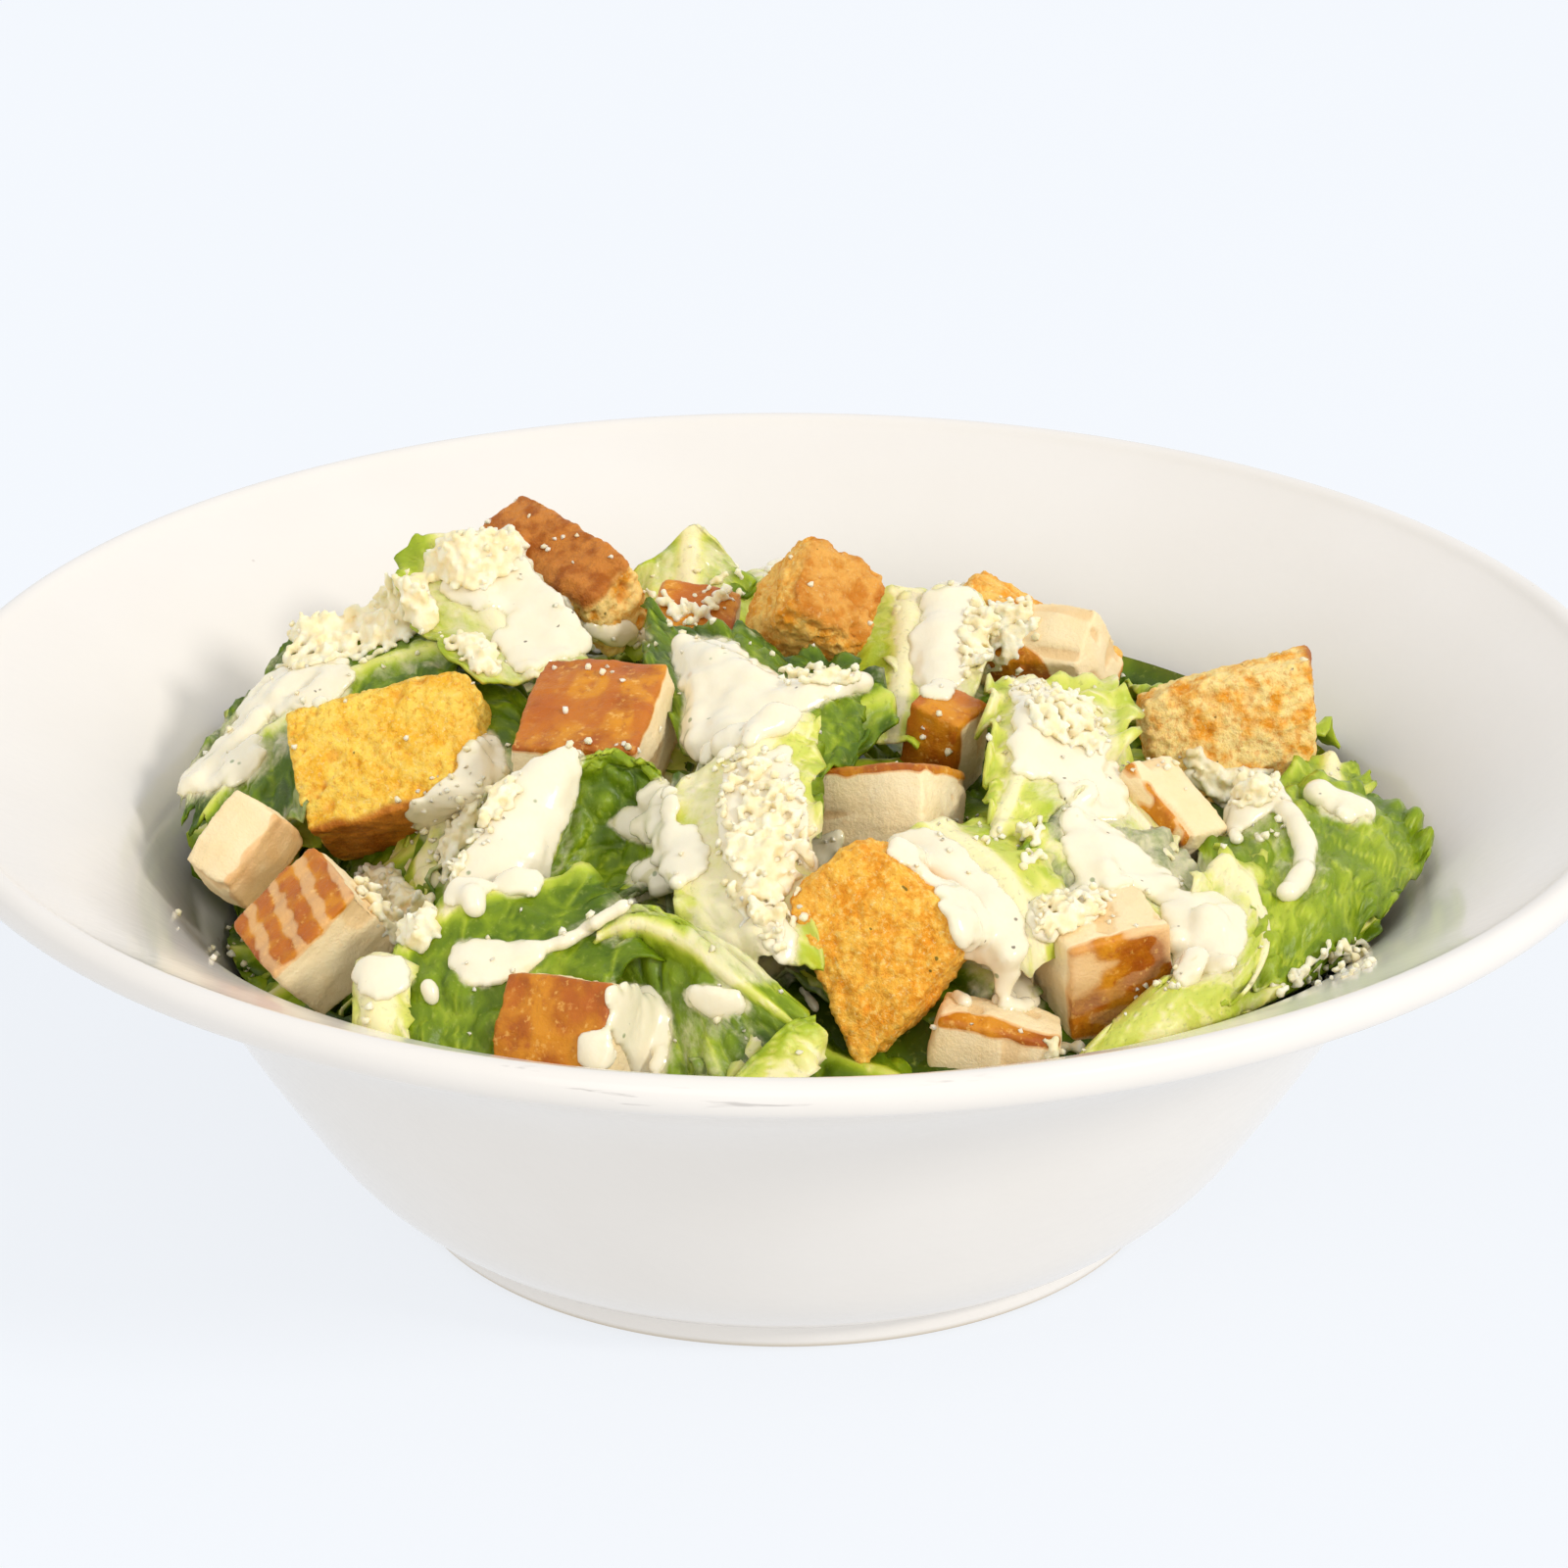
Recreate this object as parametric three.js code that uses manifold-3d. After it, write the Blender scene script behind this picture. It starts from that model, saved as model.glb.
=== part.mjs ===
// Chicken caesar salad in a wide-rimmed stoneware bowl.  Millimetres, +Z up, origin at the centre of
// the foot's underside.  The bowl, every chicken cube and every crouton are nodes of their own; the
// torn romaine with its thick dressing and grated cheese is one heap.
import * as THREE from 'three'
import Module from 'manifold-3d'

const wasm = await Module()
wasm.setup()

// Driving sizes
const BOWL_SIDES = 48
const ROOM_SIDES = 24
const GAP = 0.4                 // clearance kept between neighbouring nodes
const LEAF_THICK = 1.1          // torn leaf with its film of dressing
const DRESSING = 1.9            // extra height where dressing lies thick
const HEAP_TOP = 71             // crown of the core under the leaves
const HEAP_FALL = 20            // how far the crown falls towards the edge
const HEAP_X = 90
const HEAP_Y = 82
const HEAP_Y0 = -8

// Bowl: outside from the foot up to the rolled lip, then inside down to the well (radius, height)
const BOWL_PROFILE = [
  [0, 2.5], [46.5, 2.5], [48, 0], [54, 0], [55.2, 4.4], [58.6, 5.8], [65.3, 12], [71, 20], [77.4, 30],
  [83.3, 40], [89, 48.5], [96, 55.5], [105, 61.5], [117.5, 67.6], [119.6, 68.6],
  [120, 70.2], [119.6, 71.9], [118.2, 72.7], [116.6, 72.2], [106, 67], [97, 61.6], [89.5, 55.4],
  [83.5, 47.5], [78, 38], [72, 28], [65.5, 18.5], [58, 11.5], [48, 8], [0, 6.5],
]
// The same inside wall drawn in by the clearance: nothing in the bowl may pass it
const ROOM_PROFILE = [
  [0, 7.5], [47, 8.8], [57.3, 12.3], [71.4, 28.5], [83, 48], [89.1, 56], [96.7, 62.3], [114, 72],
  [114, 110], [0, 110],
]

const COLOURS = {
  glazed_bowl: ['#e6e0da', 0.25], romaine: ['#5f8f2c', 0.45],
  chicken: ['#d9b488', 0.6], crouton: ['#d59a3c', 0.85],
}

const group = new THREE.Group()
group.name = 'chicken_caesar_salad'

// Repeatable noise: a few crossing sine waves, different for every seed
function lump(x, y, z, size, seed) {
  const k = 6.28 / size
  return (Math.sin(k * (x + 0.7 * y) + seed * 1.7) + Math.sin(k * (y - 0.6 * z) + seed * 2.3)
    + Math.sin(k * (z + 0.8 * x) + seed * 3.1)) / 3
}

function toSolid(positions, triangles) {
  return new wasm.Manifold(new wasm.Mesh({
    numProp: 3,
    vertProperties: new Float32Array(positions),
    triVerts: new Uint32Array(triangles),
  }))
}

function toGeometry(solid) {
  const mesh = solid.getMesh()
  const geometry = new THREE.BufferGeometry()
  geometry.setAttribute('position', new THREE.BufferAttribute(mesh.vertProperties, 3))
  geometry.setIndex(new THREE.BufferAttribute(mesh.triVerts, 1))
  geometry.computeVertexNormals()
  return geometry
}

function addNode(name, slot, geometry) {
  const [color, roughness] = COLOURS[slot]
  const mesh = new THREE.Mesh(geometry, new THREE.MeshStandardMaterial({ color, roughness, metalness: 0 }))
  mesh.name = name
  mesh.material.name = slot
  group.add(mesh)
  return mesh
}

function lathe(profile, sides) {
  const points = profile.map(([r, z]) => new THREE.Vector2(r, z))
  return new THREE.LatheGeometry(points, sides).rotateX(Math.PI / 2)
}

// Turned solid built ring by ring, closed on the axis
function turnedSolid(profile, sides) {
  const rings = profile.filter(([r]) => r > 0)
  const positions = []
  for (const [r, z] of rings) {
    for (let i = 0; i < sides; i++) {
      const a = (2 * Math.PI * i) / sides
      positions.push(r * Math.cos(a), r * Math.sin(a), z)
    }
  }
  const first = positions.length / 3
  positions.push(0, 0, profile[0][1], 0, 0, profile[profile.length - 1][1])
  const triangles = []
  for (let i = 0; i < sides; i++) {
    const j = (i + 1) % sides
    triangles.push(first, j, i)
    for (let k = 0; k + 1 < rings.length; k++) {
      const [a, b, c, d] = [k * sides + i, k * sides + j, (k + 1) * sides + j, (k + 1) * sides + i]
      triangles.push(a, b, c, a, c, d)
    }
    const last = (rings.length - 1) * sides
    triangles.push(first + 1, last + i, last + j)
  }
  return toSolid(positions, triangles)
}

// ---------------------------------------------------------------- bowl
// Thrown stoneware: foot ring, round body, wide flaring rim with a thick lip
addNode('bowl', 'glazed_bowl', toGeometry(turnedSolid(BOWL_PROFILE, BOWL_SIDES)))

// ---------------------------------------------------------------- chicken and croutons
// A cut cube: rounded box, its faces divided, pushed about by noise. For one that isn't square, drawn
// picks one edge along y by the signs of x and z, then says how far that edge is drawn in x and in z
function cubeSolid({ at, size, turn, parts, round, rough, grain, seed, drawn = [0, 0, 0, 0] }, grow = 0) {
  const full = size.map(s => s + 2 * grow)
  const box = new THREE.BoxGeometry(1, 1, 1, parts, parts, parts)
  const source = box.getAttribute('position')
  const index = new Map()
  const positions = []
  const remap = []
  const [rz, rx, ry] = turn.map(THREE.MathUtils.degToRad)
  const spin = new THREE.Matrix4().makeRotationZ(rz)
    .multiply(new THREE.Matrix4().makeRotationX(rx)).multiply(new THREE.Matrix4().makeRotationY(ry))
  const r = round + grow
  const [cornerX, cornerZ, shiftX, shiftZ] = drawn
  for (let i = 0; i < source.count; i++) {
    const unit = [source.getX(i), source.getY(i), source.getZ(i)]
    const key = unit.map(v => Math.round(v * 64)).join()
    if (!index.has(key)) {
      const p = new THREE.Vector3(...unit.map((v, k) => v * full[k]))
      const inner = new THREE.Vector3(...unit.map((v, k) => {
        const limit = full[k] / 2 - r
        return Math.max(-limit, Math.min(limit, v * full[k]))
      }))
      const out = p.clone().sub(inner)
      if (out.length() > 0) p.copy(inner).addScaledVector(out.clone().normalize(), r)
      const push = rough * lump(...unit.map((v, k) => v * size[k]), grain, seed)
      p.addScaledVector(new THREE.Vector3(...unit).normalize(), push)
      const share = (0.5 + cornerX * unit[0]) * (0.5 + cornerZ * unit[2])
      p.x += share * shiftX
      p.z += share * shiftZ
      p.applyMatrix4(spin).add(new THREE.Vector3(...at))
      index.set(key, positions.length / 3)
      positions.push(p.x, p.y, p.z)
    }
    remap.push(index.get(key))
  }
  return toSolid(positions, Array.from(box.index.array, i => remap[i]))
}

// Grilled chicken breast in cubes: centre, size, turn about Z then X then Y in degrees
const CHICKEN = [
  { at: [-25.2, -20.9, 74.3], size: [18.5, 20.5, 17], turn: [-13, 17, -4] },
  { at: [-73.5, -24, 60.5], size: [9, 13, 11.5], turn: [-50, 42, 20] },
  { at: [-61.5, -50, 60.5], size: [15, 16, 13], turn: [-68, 40, 10] },
  { at: [-26.8, -76, 59], size: [16, 14.5, 12.5], turn: [-27, -32, -6] },
  { at: [14, -36.5, 72], size: [17, 14, 12], turn: [-30, -26, -14] },
  { at: [21.5, -17, 71], size: [9, 9, 20], turn: [-35, 5, 12] },
  { at: [37, 14, 73], size: [18, 11.5, 14], turn: [-23, 32, -8] },
  { at: [50, -31.5, 67.4], size: [9.6, 14.5, 14], turn: [41, 31, 8] },
  { at: [41, -61, 61], size: [16, 13.5, 16], turn: [26, 5, -4] },
  { at: [27.3, -72.6, 55.2], size: [16.6, 9.5, 9.5], turn: [-8, 4, 10] },
  { at: [-13, 19, 75], size: [12, 11, 11], turn: [-10, 20, 10] },
].map((cube, i) => ({ ...cube, parts: 3, round: 1.3, rough: 0.45, grain: 13, seed: i + 1 }))

// Toasted bread croutons, rougher and rounder
const CROUTON = [
  { at: [-53, -12, 68], size: [26, 18, 19], turn: [-15, -38, -22] },
  { at: [-31.4, 31, 79.4], size: [26, 10.5, 13], turn: [-54, 29, 10] },
  { at: [3.8, 7.4, 82.9], size: [13.6, 14.4, 16.8], turn: [-13, 29, 38] },
  { at: [63, -4, 69], size: [25.5, 10, 19], turn: [2, -12, -14], drawn: [1, -1, -4, 0.5] },
  { at: [11.3, -66.4, 64.9], size: [19, 13, 25], turn: [-15, -22, 32], drawn: [-1, -1, -3.4, 11.4] },
  { at: [35, 33, 66], size: [25, 13, 14], turn: [-14, -8, 26] },
].map((cube, i) => ({ round: 2, ...cube, parts: 4, rough: 0.7, grain: 8, seed: i + 21 }))

CHICKEN.forEach((cube, i) => addNode(`chicken_${i + 1}`, 'chicken', toGeometry(cubeSolid(cube))))
CROUTON.forEach((cube, i) => addNode(`crouton_${i + 1}`, 'crouton', toGeometry(cubeSolid(cube))))

// ---------------------------------------------------------------- romaine heap
// Each torn leaf: a spine of three points, its two edges at mid length, the relative width of its
// two ends, and the part of it (u from, u to, v from, v to) that thick dressing covers
const LEAVES = [
  // left side
  { spine: [[-47, 8, 78], [-68, 6, 71], [-83, -16, 60]], edges: [[-72, 18, 71], [-60, -16, 69]],
    ends: [0.8, 0.5], dressed: [0.3, 0.95, -1, -0.1], propped: true },
  { spine: [[-46, 20, 89], [-40.5, 10, 82.5], [-33, -8, 79]], edges: [[-53, 12, 82], [-30, 6, 82.5]],
    ends: [0.6, 0.8], dressed: [0, 0.9, -0.5, 1], propped: true },
  { spine: [[-45, 10, 77], [-41, -4, 75], [-38, -26, 70]], edges: [[-47, -4, 72], [-35, -6, 74]],
    ends: [0.8, 0.8], cells: [4, 2], propped: true },
  { spine: [[-51, -67, 64], [-52, -72, 61], [-51, -76, 56]], edges: [[-55, -70, 60], [-48, -73, 60]],
    ends: [0.9, 1], dressed: [0, 0.4, -1, 1], cells: [4, 2] },
  // the big curled leaf left of the middle
  { spine: [[-18, -42, 80.5], [-32, -45, 76], [-44, -59, 67]], edges: [[-42, -34, 72], [-26, -54, 75]],
    ends: [0.7, 0.7], dressed: [0, 1, -1, 0.5] },
  { spine: [[-16, -37, 80], [-26, -50, 72], [-43, -61, 64]], edges: [[-31, -47, 79], [-10, -61, 74]],
    ends: [0.8, 0.6], waves: 3, propped: true },
  { spine: [[-20, -64, 69], [-38, -70, 65], [-48, -77, 57]], edges: [[-44, -60, 69], [-32, -76, 60]],
    ends: [0.8, 0.8], dressed: [0.1, 0.7, -1, -0.3] },
  // front and centre
  { spine: [[-24, -71, 70], [-8, -78, 66], [2, -84, 57]], edges: [[-4, -71, 71], [-12, -84, 58]],
    ends: [0.7, 0.6] },
  { spine: [[-1, -35, 84], [-6, -55, 77], [0, -79, 65]], edges: [[-16, -54, 73], [4, -53, 78]],
    ends: [0.6, 0.6], dressed: [0, 0.6, -0.8, 1], propped: true },
  { spine: [[3, -27, 82], [1, -40, 79], [3, -49, 74]], edges: [[-2, -38, 78], [5, -37, 78]],
    ends: [0.6, 0.5], cells: [4, 2] },
  { spine: [[-8, -36, 78], [-12, -44, 76], [-17, -48, 74]], edges: [[-14, -38, 77], [-9, -49, 76]],
    ends: [0.6, 0.5], cells: [4, 2] },
  { spine: [[14, -17, 81], [7, -23, 81], [-1, -32, 78]], edges: [[6, -19, 84], [10, -28, 77]],
    ends: [0.7, 0.6], cells: [4, 2] },
  { spine: [[-19, 2, 81], [-4, -20, 83], [11, -22, 82]], edges: [[-5, -1, 83], [-6, -38, 78]],
    ends: [0.5, 0.6], dressed: [0.1, 1, -0.7, 1] },
  // along the back of the view
  { spine: [[-13, 38, 84], [-14, 34, 79], [-14, 24, 72]], edges: [[-22, 33, 76], [-4, 33, 76]],
    ends: [0.1, 1], cells: [4, 2] },
  { spine: [[16, 16, 83], [15, 2, 79], [13, -20, 74]], edges: [[9, 0, 78], [21, 0, 79]],
    ends: [0.8, 0.8] },
  { spine: [[26, 18, 83], [23, 4, 80], [21, -12, 76]], edges: [[14, 6, 79], [34, 3, 80]],
    ends: [0.7, 0.6], dressed: [0, 0.7, -0.5, 1], propped: true },
  // right side
  { spine: [[35, -11, 81], [35, -31, 79], [29, -49, 73]], edges: [[27, -34, 79], [46, -25, 77]],
    ends: [0.9, 0.3], waves: 3, dressed: [0, 0.7, -0.6, 0.8], propped: true },
  { spine: [[34, -34, 75], [42, -32, 74], [51, -45, 68]], edges: [[44, -17, 75], [39, -42, 72]],
    ends: [0.6, 0.6], dressed: [0, 0.7, -0.5, 1], cells: [4, 2] },
  { spine: [[34, -45, 74], [45, -50, 69], [60, -60, 62]], edges: [[51, -40, 70], [39, -58, 66]],
    ends: [0.7, 0.8], dressed: [0.2, 1, -0.9, 0.6], propped: true },
  { spine: [[56, -48, 69], [63, -56, 65], [59, -69, 60]], edges: [[65, -45, 65], [55, -63, 63]],
    ends: [0.5, 0.4], waves: 3, cells: [4, 2] },
  { spine: [[87, -20, 63], [72, -43, 68], [58, -58, 63]], edges: [[65, -25, 70], [75, -53, 61]],
    ends: [0.35, 0.8], waves: 3 },
  { spine: [[76, -6, 66], [74, -19, 66], [70, -32, 65]], edges: [[67, -19, 68], [81, -12, 64]],
    ends: [0.5, 0.8], dressed: [0.3, 1, -0.5, 0.8], cells: [4, 2] },
  { spine: [[18, -49, 75], [26, -58, 73], [32, -70, 66]], edges: [[19, -60, 69], [35, -50, 71]],
    ends: [0.7, 0.5], waves: 3, dressed: [0, 0.9, -1, 0.3] },
  { spine: [[37, -81, 56], [50, -76, 62], [62, -67, 57]], edges: [[54, -65, 63], [50, -76, 55]],
    ends: [0.4, 0.5], waves: 3 },
  // low in the gaps at the front
  { spine: [[-50, -71, 56], [-42, -74, 56], [-33, -77, 56]], edges: [[-42, -64, 58], [-43, -77, 54]],
    ends: [0.8, 0.8], cells: [4, 2] },
  { spine: [[22, -60, 63], [27, -64, 60], [33, -66, 55]], edges: [[22, -68, 56], [31, -58, 60]],
    ends: [0.8, 0.8], cells: [4, 2] },
  { spine: [[59, -63, 60], [64, -65, 58], [70, -60, 57]], edges: [[65, -58, 60], [61, -68, 54]],
    ends: [0.7, 0.5], cells: [4, 2] },
  // the far side of the heap
  { spine: [[-2, 30, 80], [-4, 52, 73], [-6, 76, 58]], edges: [[-22, 50, 68], [16, 52, 69]],
    ends: [0.7, 0.6], dressed: [0.1, 0.7, -0.3, 0.7], cells: [4, 3] },
  { spine: [[-38, 38, 74], [-50, 48, 66], [-60, 62, 55]], edges: [[-66, 36, 62], [-32, 60, 63]],
    ends: [0.7, 0.6], cells: [4, 3] },
  { spine: [[-58, 14, 74], [-72, 22, 66], [-84, 34, 58]], edges: [[-80, 6, 60], [-60, 38, 64]],
    ends: [0.7, 0.6], dressed: [0.1, 0.6, -0.5, 0.8], cells: [4, 3] },
  { spine: [[22, 40, 74], [28, 56, 67], [34, 74, 57]], edges: [[10, 60, 64], [48, 48, 66]],
    ends: [0.7, 0.6], cells: [4, 3] },
  { spine: [[56, 28, 62], [64, 37, 57], [70, 45, 52]], edges: [[54, 50, 51], [77, 24, 57]],
    ends: [0.7, 0.6], propped: true, dressed: [0.1, 0.7, -0.3, 0.7], cells: [4, 3] },
  { spine: [[-20, 46, 76], [-26, 60, 67], [-30, 74, 58]], edges: [[-42, 54, 60], [-10, 64, 62]],
    ends: [0.7, 0.6], cells: [4, 3] },
  { spine: [[50, 12, 70], [60, 17, 65.5], [69, 20, 60]], edges: [[60, 32, 59], [64, 5, 62.5]],
    ends: [0.7, 0.5], cells: [4, 3] },
  { spine: [[10, 26, 80], [14, 42, 76], [16, 60, 68]], edges: [[-2, 42, 72], [30, 42, 73]],
    ends: [0.7, 0.6], cells: [4, 3] },
].map((leaf, i) => ({ ruffle: 1.2, waves: 2, dressed: null, cells: [5, 4], ...leaf, seed: i + 1 }))

const through = (a, b, c, t) => a.clone().multiplyScalar((1 - t) * (1 - 2 * t))
  .addScaledVector(b, 4 * t * (1 - t)).addScaledVector(c, t * (2 * t - 1))

// Point of a leaf's middle surface: u runs along the spine, v from edge to edge
function leafPoint(leaf, u, v) {
  const [s0, s1, s2] = leaf.spine.map(p => new THREE.Vector3(...p))
  const [a, b] = leaf.edges.map(p => new THREE.Vector3(...p))
  const ripple = 1 + 0.06 * Math.sin(25 * u + 3 * leaf.seed)
  const width = Math.max(0.06, leaf.ends[0] * (1 - u) * (1 - 2 * u) + 4 * u * (1 - u)
    + leaf.ends[1] * u * (2 * u - 1)) * ripple
  const side = b.clone().sub(a).multiplyScalar(0.5)
  const rise = a.clone().add(b).multiplyScalar(0.5).sub(s1)
  const normal = s2.clone().sub(s0).cross(b.clone().sub(a)).normalize()
  if (normal.z < 0) normal.negate()
  const wave = leaf.ruffle * v * v * Math.sin(6.28 * leaf.waves * u + leaf.seed + (v < 0 ? 1.7 : 0))
  return through(s0, s1, s2, u).addScaledVector(side, width * v).addScaledVector(rise, width * v * v)
    .addScaledVector(normal, wave)
}

function leafNormal(leaf, u, v) {
  const along = leafPoint(leaf, u + 0.02, v).sub(leafPoint(leaf, u - 0.02, v))
  const across = leafPoint(leaf, u, v + 0.02).sub(leafPoint(leaf, u, v - 0.02))
  const normal = along.cross(across).normalize()
  return normal.z < 0 ? normal.negate() : normal
}

const smooth = (a, b, x) => { const t = Math.max(0, Math.min(1, (x - a) / (b - a))); return t * t * (3 - 2 * t) }

function leafSolid(leaf) {
  const [along, across] = leaf.cells
  const positions = []
  for (const side of [1, -1]) {
    for (let i = 0; i <= along; i++) {
      for (let j = 0; j <= across; j++) {
        const u = i / along
        const v = (2 * j) / across - 1
        let lift = LEAF_THICK / 2
        if (side > 0 && leaf.dressed) {
          const [u0, u1, v0, v1] = leaf.dressed
          lift += DRESSING * smooth(u0 - 0.1, u0 + 0.1, u) * smooth(u1 + 0.1, u1 - 0.1, u)
            * smooth(v0 - 0.25, v0 + 0.25, v) * smooth(v1 + 0.25, v1 - 0.25, v)
        }
        const p = leafPoint(leaf, u, v).addScaledVector(leafNormal(leaf, u, v), side * lift)
        positions.push(p.x, p.y, p.z)
      }
    }
  }
  const row = across + 1
  const back = (along + 1) * row
  const triangles = []
  for (let i = 0; i < along; i++) {
    for (let j = 0; j < across; j++) {
      const [a, b, c, d] = [i * row + j, (i + 1) * row + j, (i + 1) * row + j + 1, i * row + j + 1]
      triangles.push(a, b, c, a, c, d)
      triangles.push(back + a, back + c, back + b, back + a, back + d, back + c)
    }
  }
  const rim = []
  for (let i = 0; i < along; i++) rim.push(i * row)
  for (let j = 0; j < across; j++) rim.push(along * row + j)
  for (let i = along; i > 0; i--) rim.push(i * row + across)
  for (let j = across; j > 0; j--) rim.push(j)
  rim.forEach((a, k) => {
    const b = rim[(k + 1) % rim.length]
    triangles.push(a, back + b, b, a, back + a, back + b)
  })
  const solid = toSolid(positions, triangles)
  if (solid.volume() > 0) return solid
  return toSolid(positions, triangles.map((_, k) => triangles[k - (k % 3) + 2 - (k % 3)]))
}

// Chopped rib that carries a leaf from the packed leaves below it
function ribSolid({ spine, edges }) {
  const [x, y, z] = spine[1]
  const [a, b] = edges.map(p => new THREE.Vector3(...p))
  const r = Math.min(5, 0.22 * a.distanceTo(b))
  return turnedSolid([[0, 45], [r + 2, 45], [r, z], [0, z]], 5).translate([x, y, 0])
}

// Heaps of grated parmesan: centre and radius
const CHEESE = [
  [-57, 18, 77, 8], [-66, 16, 73, 6], [-43, 6, 79, 4], [-54, -58, 65, 6], [-41, -43, 74, 5],
  [-45, 15, 86, 6], [29, 4, 82, 6], [35, -17, 81, 5], [57, -25, 69, 5], [-4, -58, 76, 6],
  [-16, 9, 81, 3.5], [34, 50, 70, 6], [-20, 60, 68, 6],
]

function cheeseSolid([x, y, z, r], seed) {
  const sides = 7
  const positions = [x, y, z + 0.45 * r, x, y, z - 1.8 * r]
  for (const [reach, height] of [[0.6, 0.34], [1, -0.1]]) {
    for (let i = 0; i < sides; i++) {
      const a = (2 * Math.PI * i) / sides
      const k = r * reach * (1 + 0.22 * Math.sin(5 * i + seed))
      positions.push(x + k * Math.cos(a), y + k * Math.sin(a), z + r * height)
    }
  }
  const triangles = []
  for (let i = 0; i < sides; i++) {
    const j = (i + 1) % sides
    const [a, b, c, d] = [2 + i, 2 + j, 2 + sides + i, 2 + sides + j]
    triangles.push(0, a, b, a, c, d, a, d, b, 1, d, c)
  }
  return toSolid(positions, triangles)
}

// Core of the heap: chopped leaf packed into the well, crown on top, following the bowl's wall
function coreSolid() {
  const sides = 28
  const rings = [18, 36, 54, 68, 78, 85]
  const crown = (x, y) => HEAP_TOP - HEAP_FALL * ((x / HEAP_X) ** 2 + ((y - HEAP_Y0) / HEAP_Y) ** 2)
    + 1.8 * lump(x, y, 0, 26, 5)
  const positions = [0, 0, crown(0, 0), 0, 0, 12]
  for (const r of rings) {
    for (let i = 0; i < sides; i++) {
      const a = (2 * Math.PI * i) / sides
      positions.push(r * Math.cos(a), r * Math.sin(a), crown(r * Math.cos(a), r * Math.sin(a)))
    }
  }
  const low = positions.length / 3
  for (let i = 0; i < sides; i++) {
    const a = (2 * Math.PI * i) / sides
    positions.push(85 * Math.cos(a), 85 * Math.sin(a), 12)
  }
  const triangles = []
  for (let i = 0; i < sides; i++) {
    const j = (i + 1) % sides
    triangles.push(0, 2 + i, 2 + j, 1, low + j, low + i)
    for (let k = 0; k < rings.length; k++) {
      const a = 2 + k * sides
      const b = k + 1 < rings.length ? a + sides : low
      triangles.push(a + i, b + i, b + j, a + i, b + j, a + j)
    }
  }
  return toSolid(positions, triangles)
}

let heap = coreSolid()
for (const leaf of LEAVES) {
  heap = heap.add(leafSolid(leaf))
  if (leaf.propped) heap = heap.add(ribSolid(leaf))
}
CHEESE.forEach((c, i) => { heap = heap.add(cheeseSolid(c, i + 1)) })
heap = heap.intersect(turnedSolid(ROOM_PROFILE, ROOM_SIDES))
for (const cube of [...CHICKEN, ...CROUTON]) {
  const mould = { ...cube, parts: 2, rough: 0, round: cube.round / 2 }
  heap = heap.subtract(cubeSolid(mould, GAP + cube.rough))
}

// Only the outer skin of the one main body stays: loose scraps and sealed hollows are dropped
function mainSkin(solid) {
  const { vertProperties, triVerts } = solid.getMesh()
  const parent = Array.from({ length: vertProperties.length / 3 }, (_, i) => i)
  const root = i => {
    while (parent[i] !== i) i = parent[i] = parent[parent[i]]
    return i
  }
  for (let t = 0; t < triVerts.length; t += 3) {
    parent[root(triVerts[t])] = root(triVerts[t + 1])
    parent[root(triVerts[t + 1])] = root(triVerts[t + 2])
  }
  const skins = new Map()
  for (let t = 0; t < triVerts.length; t += 3) {
    const key = root(triVerts[t])
    if (!skins.has(key)) skins.set(key, [])
    skins.get(key).push(...triVerts.subarray(t, t + 3))
  }
  const largest = [...skins.values()].sort((a, b) => b.length - a.length)[0]
  const used = [...new Set(largest)]
  const place = new Map(used.map((v, i) => [v, i]))
  return toSolid(used.flatMap(v => [...vertProperties.subarray(3 * v, 3 * v + 3)]), largest.map(v => place.get(v)))
}
addNode('romaine_salad', 'romaine', toGeometry(mainSkin(heap.simplify(0.12))))

export default group
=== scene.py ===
import math
import random

import bpy
import numpy as np
from mathutils import Matrix, Vector


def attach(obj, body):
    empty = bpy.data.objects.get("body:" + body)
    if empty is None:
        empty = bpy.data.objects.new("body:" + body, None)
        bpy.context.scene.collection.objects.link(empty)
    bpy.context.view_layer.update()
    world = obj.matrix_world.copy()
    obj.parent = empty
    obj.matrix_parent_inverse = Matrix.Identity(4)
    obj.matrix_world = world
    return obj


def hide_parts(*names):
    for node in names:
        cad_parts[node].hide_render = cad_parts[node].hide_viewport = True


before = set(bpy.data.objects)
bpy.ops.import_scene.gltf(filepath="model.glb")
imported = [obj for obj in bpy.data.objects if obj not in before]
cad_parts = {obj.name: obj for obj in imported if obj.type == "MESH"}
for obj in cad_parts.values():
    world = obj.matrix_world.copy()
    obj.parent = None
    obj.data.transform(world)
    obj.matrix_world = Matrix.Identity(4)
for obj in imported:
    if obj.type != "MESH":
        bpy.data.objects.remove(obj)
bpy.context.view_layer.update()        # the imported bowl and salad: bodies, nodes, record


# ---------------------------------------------------------------- table, light and camera
# A pale seamless table top under a bright soft tent, with one window-like lamp from the right
# that throws the soft shadows inside the bowl, and a wide softbox in front that fills them.
def tint(red, green, blue):
    """A colour given as display values 0 to 255."""
    return tuple(((c / 255 + 0.055) / 1.055) ** 2.4 if c > 10 else c / 255 / 12.92
                 for c in (red, green, blue)) + (1.0,)


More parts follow.
